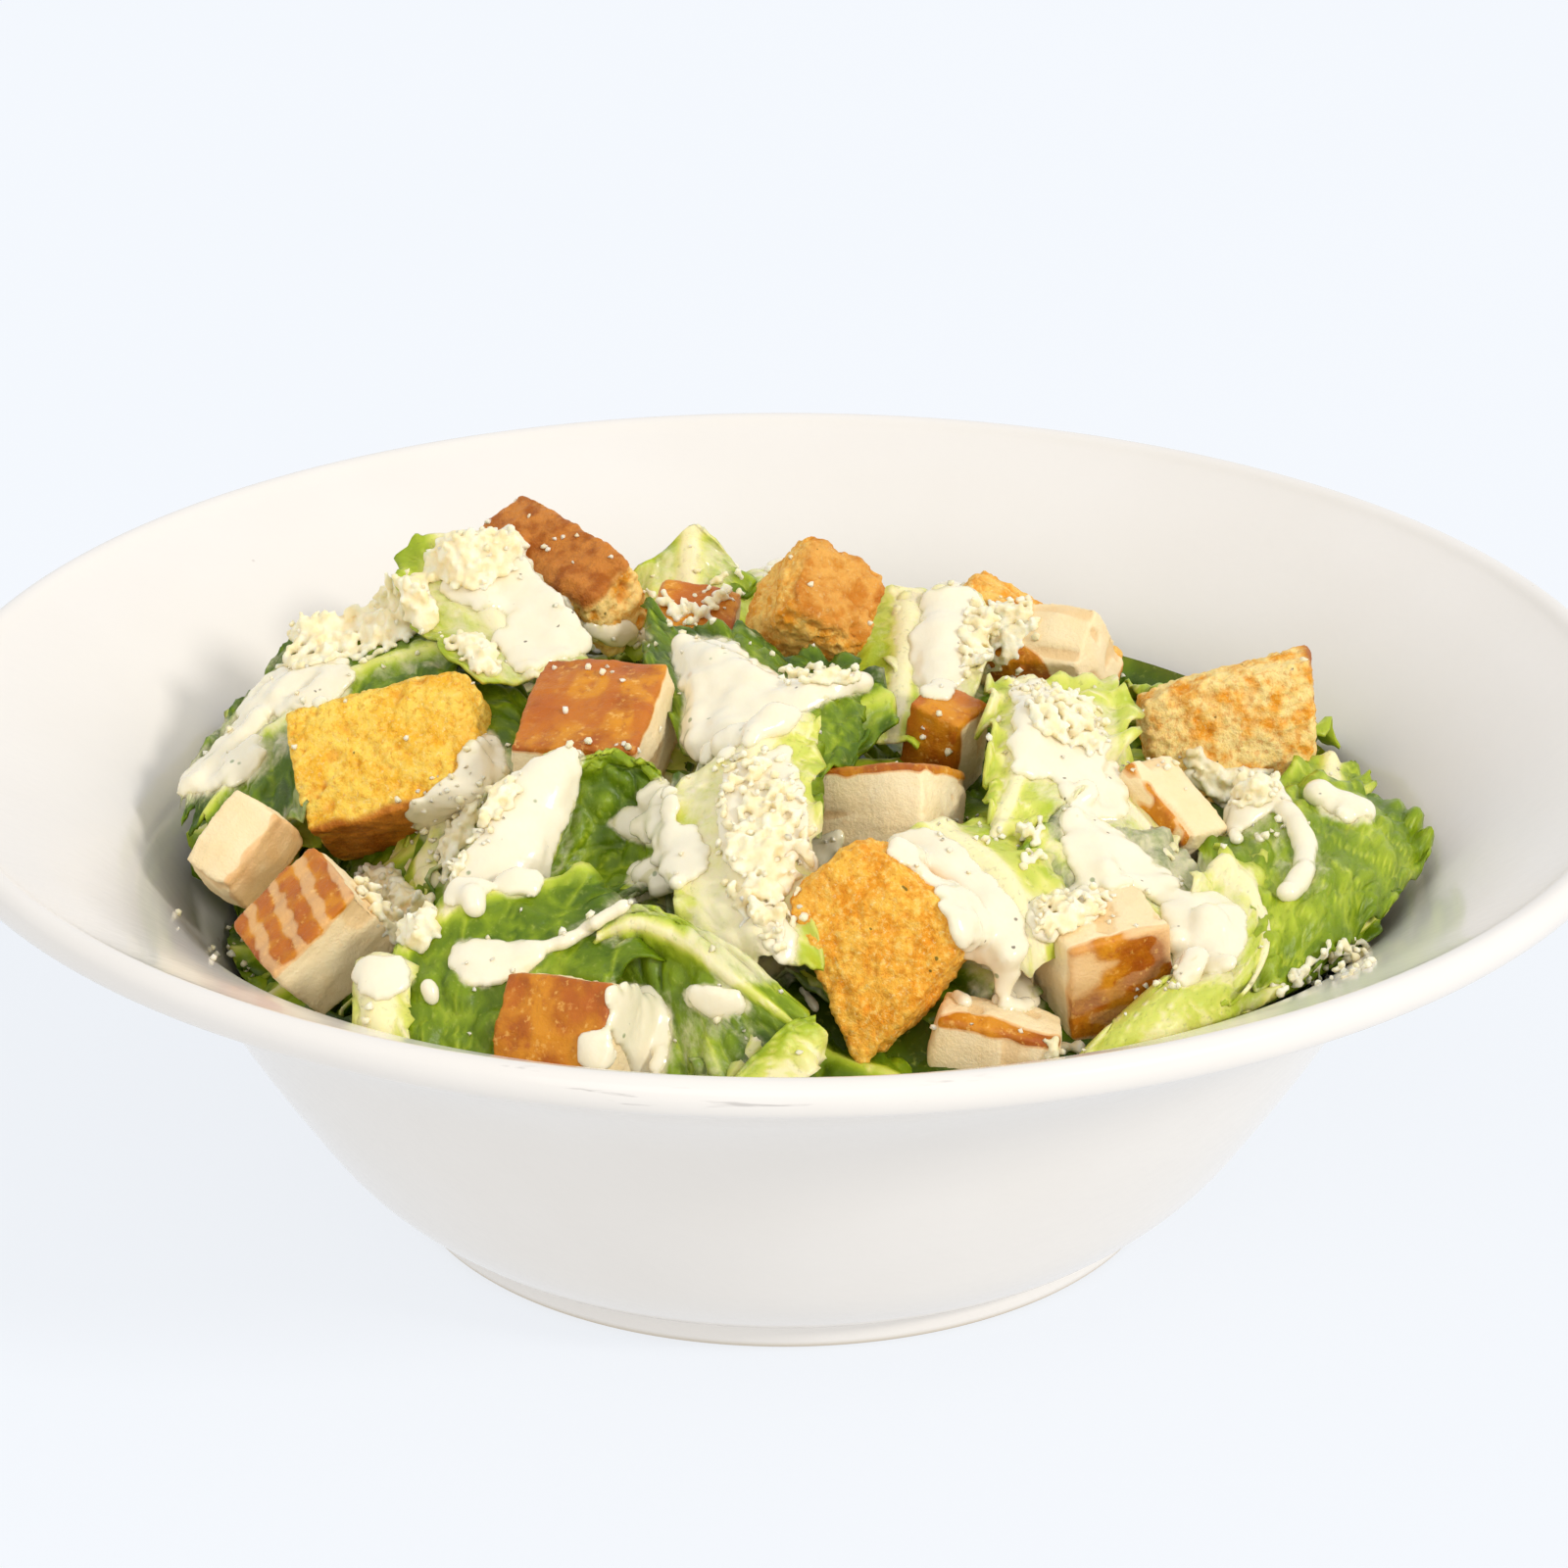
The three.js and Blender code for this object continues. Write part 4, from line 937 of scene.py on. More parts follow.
pick = random.Random(11)
scraps = []
for k in range(STREWN):
    reach, angle = 80 * math.sqrt(pick.random()), pick.uniform(0, ANY_WAY)
    x, y = reach * math.cos(angle), reach * math.sin(angle)
    size, heading = pick.uniform(7, 13), pick.uniform(0, ANY_WAY)
    z = bed(x, y) + pick.uniform(-2.2, 0.4)
    ax, ay = math.cos(heading) * size, math.sin(heading) * size
    bx, by = -math.sin(heading) * size * 0.7, math.cos(heading) * size * 0.7
    tip = [bed(x + s * ax, y + s * ay) + pick.uniform(-3, 1) for s in (1, -1)]
    brow = [bed(x + s * bx, y + s * by) + pick.uniform(-4, 0) for s in (1, -1)]
    spine = [(x + ax, y + ay, tip[0]), (x, y, z), (x - ax, y - ay, tip[1])]
    edges = [(x + bx, y + by, brow[0]), (x - bx, y - by, brow[1])]
    ends = (pick.uniform(0.3, 0.9), pick.uniform(0.3, 0.9))
    looks = (pick.choice([0.1, 0.16, 0.22, 0.3, 0.45, 0.7]), pick.choice([-0.4, 0.0, 1.5, 1.5]))
    furthest = max(math.hypot(px, py) for px, py, _ in spine + edges)
    if y < 10 and hollow(x, y) < 0.5 and furthest > 76:
        continue
    if over_the_top(np.array(spine + edges) * MM, margin=30).any() or any(map(in_the_way, spine + edges)):
        continue
    sheet = rolled(spine, edges, ends, 100 + k, waves=2)
    scraps.append(lay_leaf(sheet, *looks, frill=0.8, seed=100 + k, cell=SCRAP_CELL))
for k in range(AT_THE_WALL):
    angle, reach = math.radians(2 + 2.2 * k), pick.uniform(71, 76) if k % 2 else pick.uniform(76, 80)
    x, y, size = reach * math.cos(angle), reach * math.sin(angle), pick.uniform(7, 11)
    ax, ay = math.cos(angle) * size, math.sin(angle) * size
    z = float(crown(x, y)) - (0.5 if k % 2 else 1.5)
    spine = [(x - ax, y - ay, z + 3), (x, y, z), (x + ax, y + ay, z - (5 if k % 2 else 2))]
    edges = [(x - ay * 0.9, y + ax * 0.9, z - 2), (x + ay * 0.9, y - ax * 0.9, z - 2)]
    if over_the_top(np.array(spine + edges) * MM, margin=26).any():
        continue
    ends = (pick.uniform(0.5, 0.9), pick.uniform(0.5, 0.9))
    sheet = rolled(spine, edges, ends, 400 + k, waves=2)
    colour = pick.choice([0.16, 0.22, 0.34, 0.55])
    scraps.append(lay_leaf(sheet, colour, rib=0.0, frill=0.8, seed=400 + k, cell=SCRAP_CELL))
leaf_pieces.append(gathered("romaine_scraps", scraps))
for piece in leaf_pieces:
    piece.data.materials.append(leaf_finish)
    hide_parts("romaine_salad")
    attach(piece, "root")


# ---------------------------------------------------------------- caesar dressing
# A thick egg and anchovy dressing, poured over and partly tossed in: it lies as rounded films and
# tongues on the leaves and cubes, hangs in short strands between them, and gathers in drops.
def seen(across, down):
    """What the camera's view meets at a spot out of 1600."""
    spot = Vector(((across - MIDDLE) / FOCAL, (MIDDLE - down) / FOCAL, -1))
    return met(eye.translation, eye.to_3x3() @ spot.normalized())


def dropped(x, y):
    """What something let fall at x, y, in metres, comes to rest on."""
    return met(Vector((x, y, 0.13)), Vector((0, 0, -1)))


def within(outline, x, y):
    """Which spots are inside an outline, and how far each is from its border."""
    inside, nearest = np.zeros(len(x), bool), np.full(len(x), 1e9)
    for (ax, ay), (bx, by) in zip(outline, outline[1:] + outline[:1]):
        wide, high = bx - ax, by - ay
        if high:
            inside ^= ((ay > y) != (by > y)) & (x < wide * (y - ay) / high + ax)
        t = np.clip(((x - ax) * wide + (y - ay) * high) / (wide ** 2 + high ** 2), 0, 1)
        nearest = np.minimum(nearest, np.hypot(ax + t * wide - x, ay + t * high - y))
    return inside, nearest


def spots(outline, step, pick):
    """Spots all over an outline, a step apart and a little out of line, and how far each is inside."""
    (left, top), (right, foot) = np.min(outline, axis=0), np.max(outline, axis=0)
    x, y = (part.ravel() for part in np.meshgrid(np.arange(left, right, step), np.arange(top, foot, step)))
    x = x + np.array([pick.uniform(-0.4, 0.4) for _ in x]) * step
    y = y + np.array([pick.uniform(-0.4, 0.4) for _ in y]) * step
    inside, border = within(outline, x, y)
    return list(zip(x[inside], y[inside], border[inside]))


# Films: outline, thickness in millimetres
FILMS = {
    "left": [
        ([(300, 680), (345, 670), (358, 690), (350, 708), (318, 722), (275, 730), (262, 748), (268, 775),
          (250, 795), (190, 812), (182, 800), (200, 785), (222, 765), (240, 740), (262, 705),
          (280, 690)], 1.1),
        ([(455, 600), (470, 548), (520, 542), (545, 580), (598, 638), (612, 662), (560, 672), (540, 690),
          (524, 676), (505, 652), (522, 638), (510, 622), (470, 615)], 0.9),
        ([(480, 760), (500, 750), (516, 775), (512, 795), (470, 830), (425, 848), (420, 825),
          (468, 790)], 0.7),
        ([(560, 772), (582, 765), (592, 772), (584, 800), (578, 830), (562, 862), (555, 890), (545, 908),
          (520, 912), (500, 900), (480, 918), (458, 922), (468, 890), (498, 850), (508, 815),
          (525, 795)], 1.2),
        ([(655, 812), (678, 795), (690, 812), (684, 834), (664, 832)], 1.0),
        ([(625, 840), (640, 830), (665, 832), (690, 845), (714, 850), (720, 872), (712, 897), (690, 899),
          (642, 899), (650, 885), (684, 870), (688, 862), (660, 858), (640, 852)], 0.8),
        ([(463, 980), (470, 965), (490, 963), (520, 968), (548, 964), (552, 976), (536, 990), (515, 996),
          (498, 1004), (474, 1000)], 1.5),
        ([(622, 1008), (660, 1010), (684, 1035), (682, 1062), (674, 1104), (655, 1104), (636, 1070),
          (622, 1040)], 0.45),
        ([(590, 1062), (618, 1055), (622, 1080), (600, 1088)], 0.5),
        ([(366, 985), (385, 978), (410, 982), (418, 1000), (400, 1014), (368, 1012)], 0.9),
    ],
    "middle": [
        ([(738, 790), (770, 778), (800, 765), (812, 800), (822, 835), (820, 862), (806, 880), (800, 905),
          (786, 915), (768, 890), (748, 880), (738, 850)], 0.7),
        ([(770, 925), (795, 930), (812, 965), (804, 985), (784, 962)], 0.5),
        ([(688, 668), (702, 652), (742, 655), (772, 682), (800, 698), (840, 694), (870, 692), (885, 702),
          (850, 708), (830, 718), (812, 732), (800, 748), (778, 746), (755, 768), (735, 774), (712, 776),
          (698, 755), (702, 715)], 1.5),
        ([(700, 1015), (720, 1008), (745, 1014), (762, 1026), (740, 1036), (715, 1030)], 0.5),
        ([(932, 655), (950, 608), (985, 600), (1000, 622), (990, 660), (984, 690), (965, 712), (945, 715),
          (934, 690)], 1.0),
        ([(905, 862), (930, 850), (962, 855), (988, 880), (1008, 900), (1028, 920), (1042, 945),
          (1045, 968), (1030, 988), (1010, 986), (985, 970), (972, 940), (958, 912), (938, 890),
          (914, 876)], 1.2),
        ([(600, 640), (640, 638), (660, 650), (620, 656)], 0.5),
        ([(865, 850), (830, 862), (815, 880), (830, 890), (850, 870)], 0.5),
        ([(1022, 990), (1046, 985), (1052, 1006), (1056, 1026), (1040, 1032), (1018, 1026)], 0.7),
    ],
    "right": [
        ([(1035, 702), (1060, 696), (1085, 720), (1120, 735), (1132, 760), (1122, 778), (1090, 786),
          (1060, 792), (1040, 790), (1034, 760), (1040, 730)], 0.9),
        ([(1080, 792), (1110, 778), (1138, 782), (1148, 812), (1150, 834), (1125, 838), (1108, 830),
          (1090, 820)], 0.8),
        ([(1085, 834), (1100, 826), (1135, 850), (1168, 876), (1204, 905), (1180, 916), (1150, 902),
          (1125, 908), (1112, 914), (1100, 892), (1088, 862)], 1.2),
        ([(1180, 908), (1210, 916), (1250, 916), (1268, 938), (1265, 968), (1246, 992), (1208, 1004),
          (1200, 985), (1206, 960), (1192, 935)], 1.4),
        ([(1210, 785), (1250, 790), (1290, 785), (1306, 808), (1290, 830), (1256, 846), (1250, 820),
          (1225, 800)], 0.9),
        ([(1050, 925), (1080, 912), (1110, 905), (1122, 925), (1095, 950), (1060, 962)], 0.6),
        ([(1342, 812), (1362, 808), (1390, 822), (1398, 836), (1380, 838), (1352, 828)], 1.4),
    ],
}
# Strands: spots along the middle, radius in millimetres
STRANDS = {
    "left": [
        ([(548, 970), (575, 962), (600, 948), (632, 928), (660, 912), (690, 902)], 0.8),
        ([(482, 915), (483, 926)], 1.3), ([(438, 1008), (442, 1018)], 0.9), ([(340, 688), (300, 696),
          (268, 730), (232, 770), (200, 800)], 1.1),
    ],
    "middle": [
        ([(700, 660), (716, 700), (712, 760)], 1.3), ([(740, 760), (790, 742), (830, 705), (880, 698)], 1.2),
        ([(976, 1018), (984, 1024)], 0.8), ([(820, 1012), (832, 1030)], 0.6), ([(915, 868), (980, 905),
          (1030, 975)], 1.3),
    ],
    "right": [
        ([(1285, 812), (1305, 822), (1320, 840), (1330, 862), (1332, 886), (1324, 904), (1314, 914)], 1.3),
        ([(1346, 814), (1368, 822), (1388, 832)], 1.5), ([(1256, 848), (1262, 858)], 0.7), ([(1282, 852),
          (1286, 858)], 0.5),
        ([(1092, 836), (1118, 862), (1128, 892)], 1.2), ([(1200, 960), (1236, 970), (1262, 958)], 1.2),
    ],
}

# Where the leaves are only smeared with it: outline, how far it is covered from 0 to 1
SMEARS = [
    ([(655, 812), (735, 770), (800, 762), (838, 850), (812, 1000), (740, 1010), (700, 960), (716, 880),
      (690, 800)], 0.72),
    ([(425, 600), (475, 560), (560, 600), (610, 670), (540, 700), (480, 690)], 0.62),
    ([(170, 740), (262, 720), (350, 670), (360, 720), (262, 800), (180, 830)], 0.55),
    ([(1030, 700), (1140, 720), (1160, 840), (1110, 850), (1040, 800)], 0.65),
    ([(930, 600), (1010, 590), (1060, 620), (1000, 720), (930, 720)], 0.60),
    ([(1080, 780), (1160, 800), (1280, 920), (1270, 1010), (1190, 1000), (1060, 880)], 0.62),
    ([(900, 850), (970, 850), (1060, 960), (1070, 1070), (1000, 1040), (960, 930)], 0.60),
    ([(560, 960), (640, 900), (720, 900), (700, 930), (600, 960), (480, 1010), (460, 970)], 0.50),
    ([(620, 1000), (720, 1010), (790, 1060), (760, 1110), (640, 1110)], 0.42),
    ([(440, 780), (520, 760), (560, 800), (480, 930), (430, 900)], 0.6),
    ([(1210, 780), (1310, 790), (1290, 860), (1230, 850)], 0.6),
]
for thing in leaf_pieces:
    places = fetched(thing.data)
    x, y = viewed(places)
    covered = np.zeros(len(places))
    for outline, share in SMEARS:
        inside, border = within(outline, x, y)
        covered = np.maximum(covered, share * ease(-14, 10, np.where(inside, border, -border)))
    for films in FILMS.values():
        for outline, _ in films:
            inside, border = within(outline, x, y)
            covered = np.maximum(covered, 0.95 * ease(-13, 2, np.where(inside, border, -border)))
    loose = 0.45 * ease(0.15, 0.6, cloud(places * 1000, 9.0, 77)) + 0.20 * ease(20, 40, places[:, 1] * 1000)
    keep(thing.data, smear=np.maximum(covered, loose))
bpy.context.view_layer.update()


def ball(subdivisions):
    """Points and triangles of a round ball of radius 1."""
    bpy.ops.mesh.primitive_ico_sphere_add(subdivisions=subdivisions, radius=1)
    made = bpy.context.object
    points, faces = fetched(made.data), np.array([list(p.vertices) for p in made.data.polygons])
    bpy.data.objects.remove(made)
    return points, faces


def cast(name, shape, frames):
    """One mesh of many copies of a shape, each set in its own frame of three arrows and a place."""
    shape_points, shape_faces = shape
    frames = np.asarray(frames)
    points = np.einsum("pk,nkj->npj", shape_points, frames[:, :3]) + frames[:, 3][:, None]
    faces = shape_faces[None] + (np.arange(len(frames)) * len(shape_points))[:, None, None]
    mesh = bpy.data.meshes.new(name)
    mesh.from_pydata(points.reshape(-1, 3), [], faces.reshape(-1, 3).tolist())
    piece = bpy.data.objects.new(name, mesh)
    bpy.context.scene.collection.objects.link(piece)
    return piece


def flattened(place, normal, radius, thickness):
    """Frame of a dab that lies flat on its surface."""
    normal = np.array(normal)
    side = np.cross(normal, (0.31, 0.95, 0.11))
    side /= np.linalg.norm(side)
    return [side * radius, np.cross(normal, side) * radius, normal * thickness, np.array(place)]


def even(normals, places, reach):
    """Normals averaged over the neighbours within reach."""
    places, normals = np.array(places), np.array(normals)
    gaps = np.linalg.norm(places[:, None] - places[None], axis=2)
    mean = (gaps < reach).astype(float) @ normals
    return mean / np.maximum(np.linalg.norm(mean, axis=1), 1e-6)[:, None]


THINNEST = 0.0005                   # metres of dressing, at the border of a film
STEP, BREAK = 0.0006, 0.009         # metres between the dabs of a strand, and a gap it doesn't cross
REGAINED = 0.00026                  # metres of thickness that smoothing takes and this gives back
LOOKED, OPAQUE = 0.0016, 0.002      # metres looked through for a leaf, and taken where none is met
CLEARS = 0.00055                    # metres over which the leaf under it stops showing

dab = ball(subdivisions=2)
pick = random.Random(5)
poured = {side: [] for side in FILMS}
for side, films in FILMS.items():
    for outline, thickness in films:
        found = [(seen(x, y), border) for x, y, border in spots(outline, step=7, pick=pick)]
        found = [(hit, border) for hit, border in found if hit and hit[2] != "stoneware_bowl"]
        if not found:
            continue
        places = np.array([hit[0] for hit, _ in found])
        normals = even([hit[1] for hit, _ in found], places, reach=0.006)
        swell = cloud(places * 1000, 6.5, 17) * 0.30
        for place, normal, puff, (_, border) in zip(places, normals, swell, found):
            full = min(1.0, 0.22 + border / 24)
            t = thickness * full * (0.72 + puff) * MM
            radius = (1.2 + 0.75 * full) * MM
            poured[side].append(flattened(place + normal * t * 0.25, normal, radius, max(t, THINNEST)))
for side, strands in STRANDS.items():
    for line, radius in strands:
        track = flowing([(x, y, 0) for x, y in line], steps=8)
        last = None
        for k, (x, y, _) in enumerate(track):
            hit = seen(x, y)
            if not hit or hit[2] == "stoneware_bowl":
                last = None
                continue
            place, normal = np.array(hit[0]), np.array(hit[1])
            r = radius * MM * (0.85 + 0.3 * pick.random()) * (1.15 if k in (0, len(track) - 1) else 1)
            gap = np.linalg.norm(place - last) if last is not None else 0
            steps = max(1, int(gap / STEP)) if gap < BREAK else 1
            for s in range(steps):
                spot = place if last is None else last + (place - last) * (s + 1) / steps
                poured[side].append(flattened(spot + normal * r * 0.35, normal, r * 1.15, r))
            last = place

# The rest of the drizzle, let fall over the far side
poured["far_side"] = []
DRIZZLES = 26
for k in range(DRIZZLES):
    x, y = pick.uniform(-62, 66), pick.uniform(38, 64)
    heading, radius = pick.uniform(0, ANY_WAY), pick.uniform(1.0, 2.3)
    for s in range(pick.randint(10, 34)):
        heading += pick.uniform(-0.35, 0.35)
        x, y = x + 0.9 * math.cos(heading), y + 0.9 * math.sin(heading)
        hit = dropped(x * MM, y * MM) if y > 42 and math.hypot(x, y) < 84 else None
        if not hit or hit[2] == "stoneware_bowl" or "_cube_" in hit[2]:
            continue
        if over_the_top(hit[0], margin=6).any():
            continue
        place, normal = np.array(hit[0]), np.array(hit[1])
        r = radius * MM * (0.9 + 0.35 * math.sin(s / 3.1 + k))
        poured["far_side"].append(flattened(place + normal * 0.0003, normal, r * 1.3, r * 0.55))

cream = Finish("caesar_dressing")
veil = cream.number("veil")
cloudiness = cream.noise(0.006, 3.0)
white = cloudiness.mixed(tint(238, 225, 190), tint(247, 238, 212))
white = (veil.between(0.08, 0.9) * 0.55).mixed(white, tint(208, 198, 124))
pepper = cream.dots(520.0)
some = cream.noise(0.0024, 0.0).between(0.70, 0.74)
white = (pepper.between(0.20, 0.12) * some * 0.85).mixed(white, tint(92, 78, 58))
herb = cream.dots(330.0)
some = cream.noise(0.004, 0.0).between(0.60, 0.66)
white = (herb.between(0.16, 0.08) * some * 0.7).mixed(white, tint(112, 134, 74))
cream_finish = cream.surface({
    "Base Color": white, "Roughness": 0.16 + cloudiness * 0.10, "Subsurface Weight": 0.25,
    "Subsurface Radius": (1.0, 0.85, 0.6), "Subsurface Scale": 0.0014,
    "Coat Weight": 0.4, "Coat Roughness": 0.08,
    "Normal": cream.bump(cream.noise(0.0011, 3.0), 0.22, 0.0003),
})
dressing_pieces = []
for side, dabs in poured.items():
    film = cast(f"dressing_{side}", dab, dabs)
    alone(film)
    applied(film, "REMESH", mode="VOXEL", voxel_size=0.0004)
    applied(film, "SMOOTH", factor=0.5, iterations=26)
    raised(film.data, REGAINED)
    bpy.ops.object.shade_smooth()
    film.hide_viewport = True
    dressing_pieces.append(film)
bpy.context.view_layer.update()
for film in dressing_pieces:
    places, normals = fetched(film.data), fetched(film.data, "normal")
    depth = np.full(len(places), OPAQUE)
    for k, (place, normal) in enumerate(zip(places, normals)):
        under = met(place, -Vector(normal), distance=LOOKED)
        if under:
            depth[k] = np.linalg.norm(np.array(under[0]) - place)
    keep(film.data, veil=np.exp(-((depth / CLEARS) ** 2)))
    film.data.materials.append(cream_finish)
    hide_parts("romaine_salad")
    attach(film, "root")
for film in dressing_pieces:
    film.hide_viewport = False


# ---------------------------------------------------------------- grated parmesan
# Hard cheese grated coarse: irregular ivory crumbs about a millimetre and a half across, dropped in
# little heaps and sprinkled loose, on the food and a few on the bowl's inner wall.
CRUMBS = [  # outline, height of the heap in millimetres, share of the spots that get a crumb
    ([(290, 648), (330, 620), (350, 602), (380, 592), (428, 598), (448, 622), (440, 645), (400, 655),
      (350, 655), (310, 662)], 6.5, 1.0),
    ([(434, 572), (452, 550), (500, 540), (528, 545), (540, 562), (520, 588), (500, 602), (470, 602),
      (440, 592)], 3.0, 0.9),
    ([(450, 655), (480, 645), (508, 665), (512, 690), (490, 692), (470, 672)], 2.2, 1.0),
    ([(496, 806), (525, 794), (530, 815), (500, 842), (482, 862), (470, 892), (452, 902), (448, 862),
      (468, 832)], 2.0, 1.0),
    ([(415, 805), (470, 780), (520, 775), (530, 810), (500, 860), (450, 905), (420, 862)], 0.6, 0.35),
    ([(362, 892), (385, 884), (402, 888), (416, 906), (448, 924), (448, 952), (432, 976), (402, 962),
      (384, 940), (362, 908)], 3.4, 1.0),
    ([(200, 940), (225, 940), (248, 975), (262, 1000), (240, 1000), (215, 980)], 0.8, 0.35),
    ([(575, 758), (600, 752), (640, 756), (655, 766), (620, 768), (590, 770)], 0.8, 0.5),
    ([(662, 600), (700, 612), (740, 585), (762, 590), (752, 612), (722, 640), (692, 646),
      (668, 622)], 1.0, 0.45),
    ([(795, 685), (840, 682), (880, 684), (884, 697), (840, 700), (800, 699)], 1.4, 0.9),
    ([(728, 786), (745, 775), (765, 768), (770, 785), (748, 792)], 0.8, 0.6),
    ([(752, 830), (790, 820), (805, 850), (800, 900), (790, 938), (765, 925), (752, 880)], 1.2, 0.5),
    ([(980, 622), (1010, 612), (1050, 610), (1062, 640), (1040, 668), (1010, 692), (985, 690),
      (978, 655)], 1.2, 0.6),
    ([(1015, 692), (1045, 680), (1072, 700), (1062, 714), (1030, 706)], 0.9, 0.9),
    ([(1045, 705), (1085, 700), (1120, 720), (1138, 760), (1115, 775), (1080, 760), (1050, 740)], 1.4, 0.55),
    ([(1205, 772), (1225, 762), (1245, 788), (1290, 783), (1306, 805), (1290, 826), (1250, 822),
      (1225, 802)], 1.8, 0.8),
    ([(1036, 842), (1062, 835), (1072, 880), (1045, 888)], 1.2, 0.6),
    ([(1052, 925), (1075, 912), (1110, 915), (1140, 905), (1120, 940), (1080, 955), (1056, 958)], 1.0, 0.7),
    ([(1338, 978), (1370, 958), (1398, 962), (1402, 985), (1370, 1000), (1310, 1012),
      (1300, 1008)], 1.6, 0.7),
    ([(1066, 1066), (1092, 1062), (1112, 1072), (1106, 1090), (1072, 1090)], 1.4, 0.7),
    ([(1140, 1022), (1170, 1002), (1192, 1000), (1188, 1016), (1160, 1030)], 0.8, 0.6),
    ([(930, 850), (960, 832), (1000, 830), (1030, 845), (1010, 862), (960, 862)], 0.8, 0.4),
    ([(800, 880), (815, 858), (850, 850), (860, 862), (835, 875), (812, 895)], 0.8, 0.6),
    ([(225, 920), (262, 985), (275, 1010), (258, 1010), (230, 960)], 0.6, 0.35),
    ([(1130, 775), (1150, 762), (1180, 775), (1210, 770), (1200, 785), (1160, 790)], 0.8, 0.4),
    ([(600, 640), (640, 642), (700, 662), (690, 672), (630, 654)], 0.6, 0.4),
    ([(1178, 990), (1210, 985), (1225, 1000), (1195, 1012)], 0.6, 0.5),
    ([(550, 680), (590, 672), (640, 690), (660, 720), (610, 710), (565, 700)], 0.3, 0.05),
    ([(940, 700), (985, 700), (1000, 770), (960, 780), (935, 760)], 0.3, 0.12),
    ([(1262, 842), (1300, 830), (1320, 850), (1290, 862)], 0.6, 0.3),
    ([(735, 775), (800, 765), (836, 850), (806, 985), (750, 940), (728, 860)], 1.0, 0.26),
    ([(175, 905), (215, 925), (232, 975), (205, 985), (180, 950)], 0.8, 0.16), ([(165, 860), (185, 850),
      (200, 900), (180, 910)], 0.8, 0.12),
    ([(360, 1040), (380, 1010), (392, 1040), (384, 1060)], 0.5, 0.3),
]
SPRINKLED = 1300                    # loose crumbs let fall all over
PER_MILLIMETRE = 34                 # crumbs to a far heap, for each millimetre of its radius
FAR_HEAPS = [(-57, 18, 8), (-66, 16, 6), (30, 62, 6), (-20, 60, 6), (58, 48, 5), (-60, 40, 5), (6, 52, 5)]
LAYER = 0.55                        # millimetres from one layer of crumbs to the next

bpy.context.view_layer.update()
granule = ball(subdivisions=1)
corners = len(granule[0])
pick = random.Random(23)
loose, heaped = [], []


def settle(pile, place, normal, lift, radius):
    """Adds one crumb, turned any way, lying at a height over the point that carries it."""
    angle, axis = pick.uniform(0, ANY_WAY), Vector([pick.gauss(0, 1) for _ in range(3)])
    turn = np.array(Matrix.Rotation(angle, 3, axis))
    sides = np.array([pick.uniform(0.8, 1.25), pick.uniform(0.75, 1.1), pick.uniform(0.65, 1.0)])
    scale = radius * MM * sides
    spot = np.array(place) + np.array(normal) * (lift + 0.45 * radius) * MM
    pile.append([*(turn * scale[:, None]), spot])


for outline, heap, share in CRUMBS:
    for x, y, border in spots(outline, 4.6 if heap >= 1.0 else 8.5, pick):
        hit = seen(x, y) if pick.random() < share else None
        if not hit or (hit[2] == "stoneware_bowl" and not -0.105 < hit[0].y < -0.02):
            continue
        if heap < 1.0:
            settle(loose, hit[0], hit[1], 0, 0.22 + 0.55 * pick.random() ** 2)
            continue
        way = np.array(hit[1]) * 0.4 + (0, 0, 0.6)
        rise = heap * min(1.0, border / 20) * pick.uniform(0.55, 1.15)
        for lift in np.arange(0, rise + 0.1, LAYER):
            shift = np.array([pick.gauss(0, 0.0003) for _ in range(3)])
            settle(heaped, np.array(hit[0]) + shift, way, lift, pick.uniform(0.45, 0.85))
        if pick.random() < 0.06:
            settle(loose, np.array(hit[0]) + way * (rise + 0.5) * MM, way, 0, pick.uniform(0.4, 0.6))
for _ in range(SPRINKLED):
    angle, reach = pick.uniform(0, ANY_WAY), 88 * math.sqrt(pick.random())
    x, y = reach * math.cos(angle), reach * math.sin(angle)
    if y < 22 and pick.random() > 0.25:
        continue
    hit = dropped(x * MM, y * MM)
    if hit and not over_the_top(hit[0], margin=-4).any():
        settle(loose, hit[0], hit[1], 0, 0.24 + 0.4 * pick.random() ** 2)
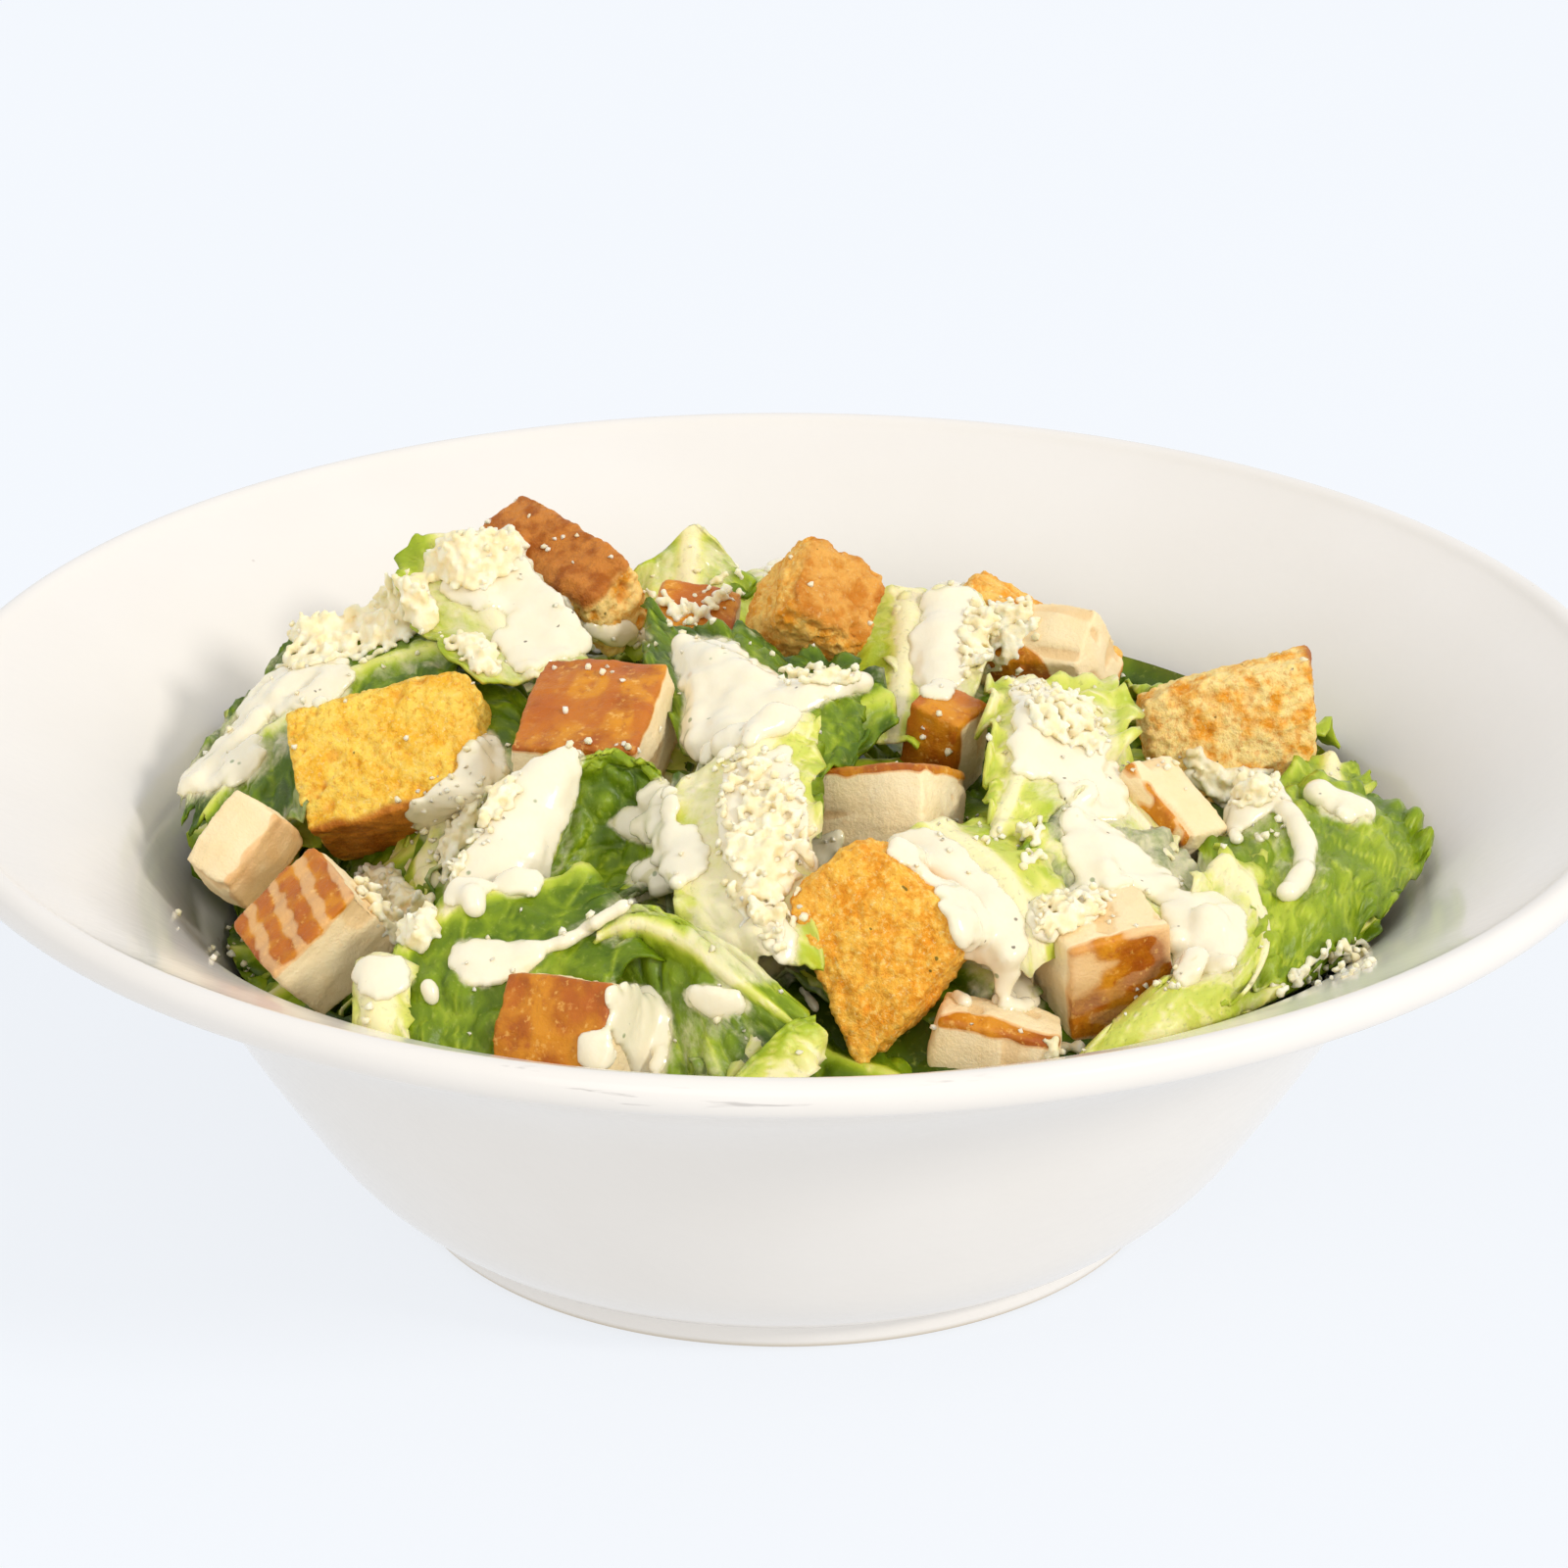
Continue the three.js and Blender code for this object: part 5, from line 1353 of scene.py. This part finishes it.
for x, y, radius in FAR_HEAPS:
    for _ in range(PER_MILLIMETRE * radius):
        angle, reach = pick.uniform(0, ANY_WAY), radius * math.sqrt(pick.random())
        hit = dropped((x + reach * math.cos(angle)) * MM, (y + reach * math.sin(angle)) * MM)
        if hit and hit[2] != "stoneware_bowl" and not over_the_top(hit[0], margin=22).any():
            for lift in np.arange(0, 0.35 * radius * (1 - reach / radius) + 0.1, LAYER):
                settle(heaped, hit[0], (0, 0, 1), lift, pick.uniform(0.42, 0.75))


def grated(name, pile, raggedness):
    """One piece of all the crumbs of a pile, their corners pulled about."""
    piece = cast(name, granule, pile)
    which = np.repeat(np.arange(len(pile)), corners)
    corner = np.tile(np.arange(corners), len(pile))
    jolt = np.stack([scatter(np.stack([which, corner, which * 0], axis=1), s) for s in (1, 2, 3)], axis=1)
    moved(piece.data, fetched(piece.data) + (jolt - 0.5) * raggedness)
    alone(piece)
    return piece


sprinkle = grated("parmesan_crumbs", loose, 0.00036)
keep(sprinkle.data, shade=np.repeat(scatter(np.stack([np.arange(len(loose))] * 3, axis=1), 9), corners))
bpy.ops.object.shade_smooth()
heaps = grated("parmesan_heaps", heaped, 0.00028)
applied(heaps, "REMESH", mode="VOXEL", voxel_size=0.00033)
applied(heaps, "SMOOTH", factor=0.35, iterations=1)
bpy.ops.object.shade_smooth()
keep(heaps.data, shade=ease(-0.6, 0.6, cloud(fetched(heaps.data) * 1000, 1.3, 31)))

cheese = Finish("grated_parmesan")
batch = cheese.number("shade")
ivory = batch.mixed(tint(244, 224, 176), tint(252, 240, 208))
ivory = (cheese.noise(0.0009, 3.0).between(0.5, 0.75) * 0.35).mixed(ivory, tint(240, 212, 150))
cheese_finish = cheese.surface({
    "Base Color": ivory, "Roughness": 0.62 + batch * 0.1, "Subsurface Weight": 0.5,
    "Subsurface Radius": (1.0, 0.8, 0.5), "Subsurface Scale": 0.002,
    "Normal": cheese.bump(cheese.noise(0.0004, 3.0), 0.4, 0.0002),
})
for parmesan in (sprinkle, heaps):
    parmesan.data.materials.append(cheese_finish)
    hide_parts("romaine_salad")
    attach(parmesan, "root")
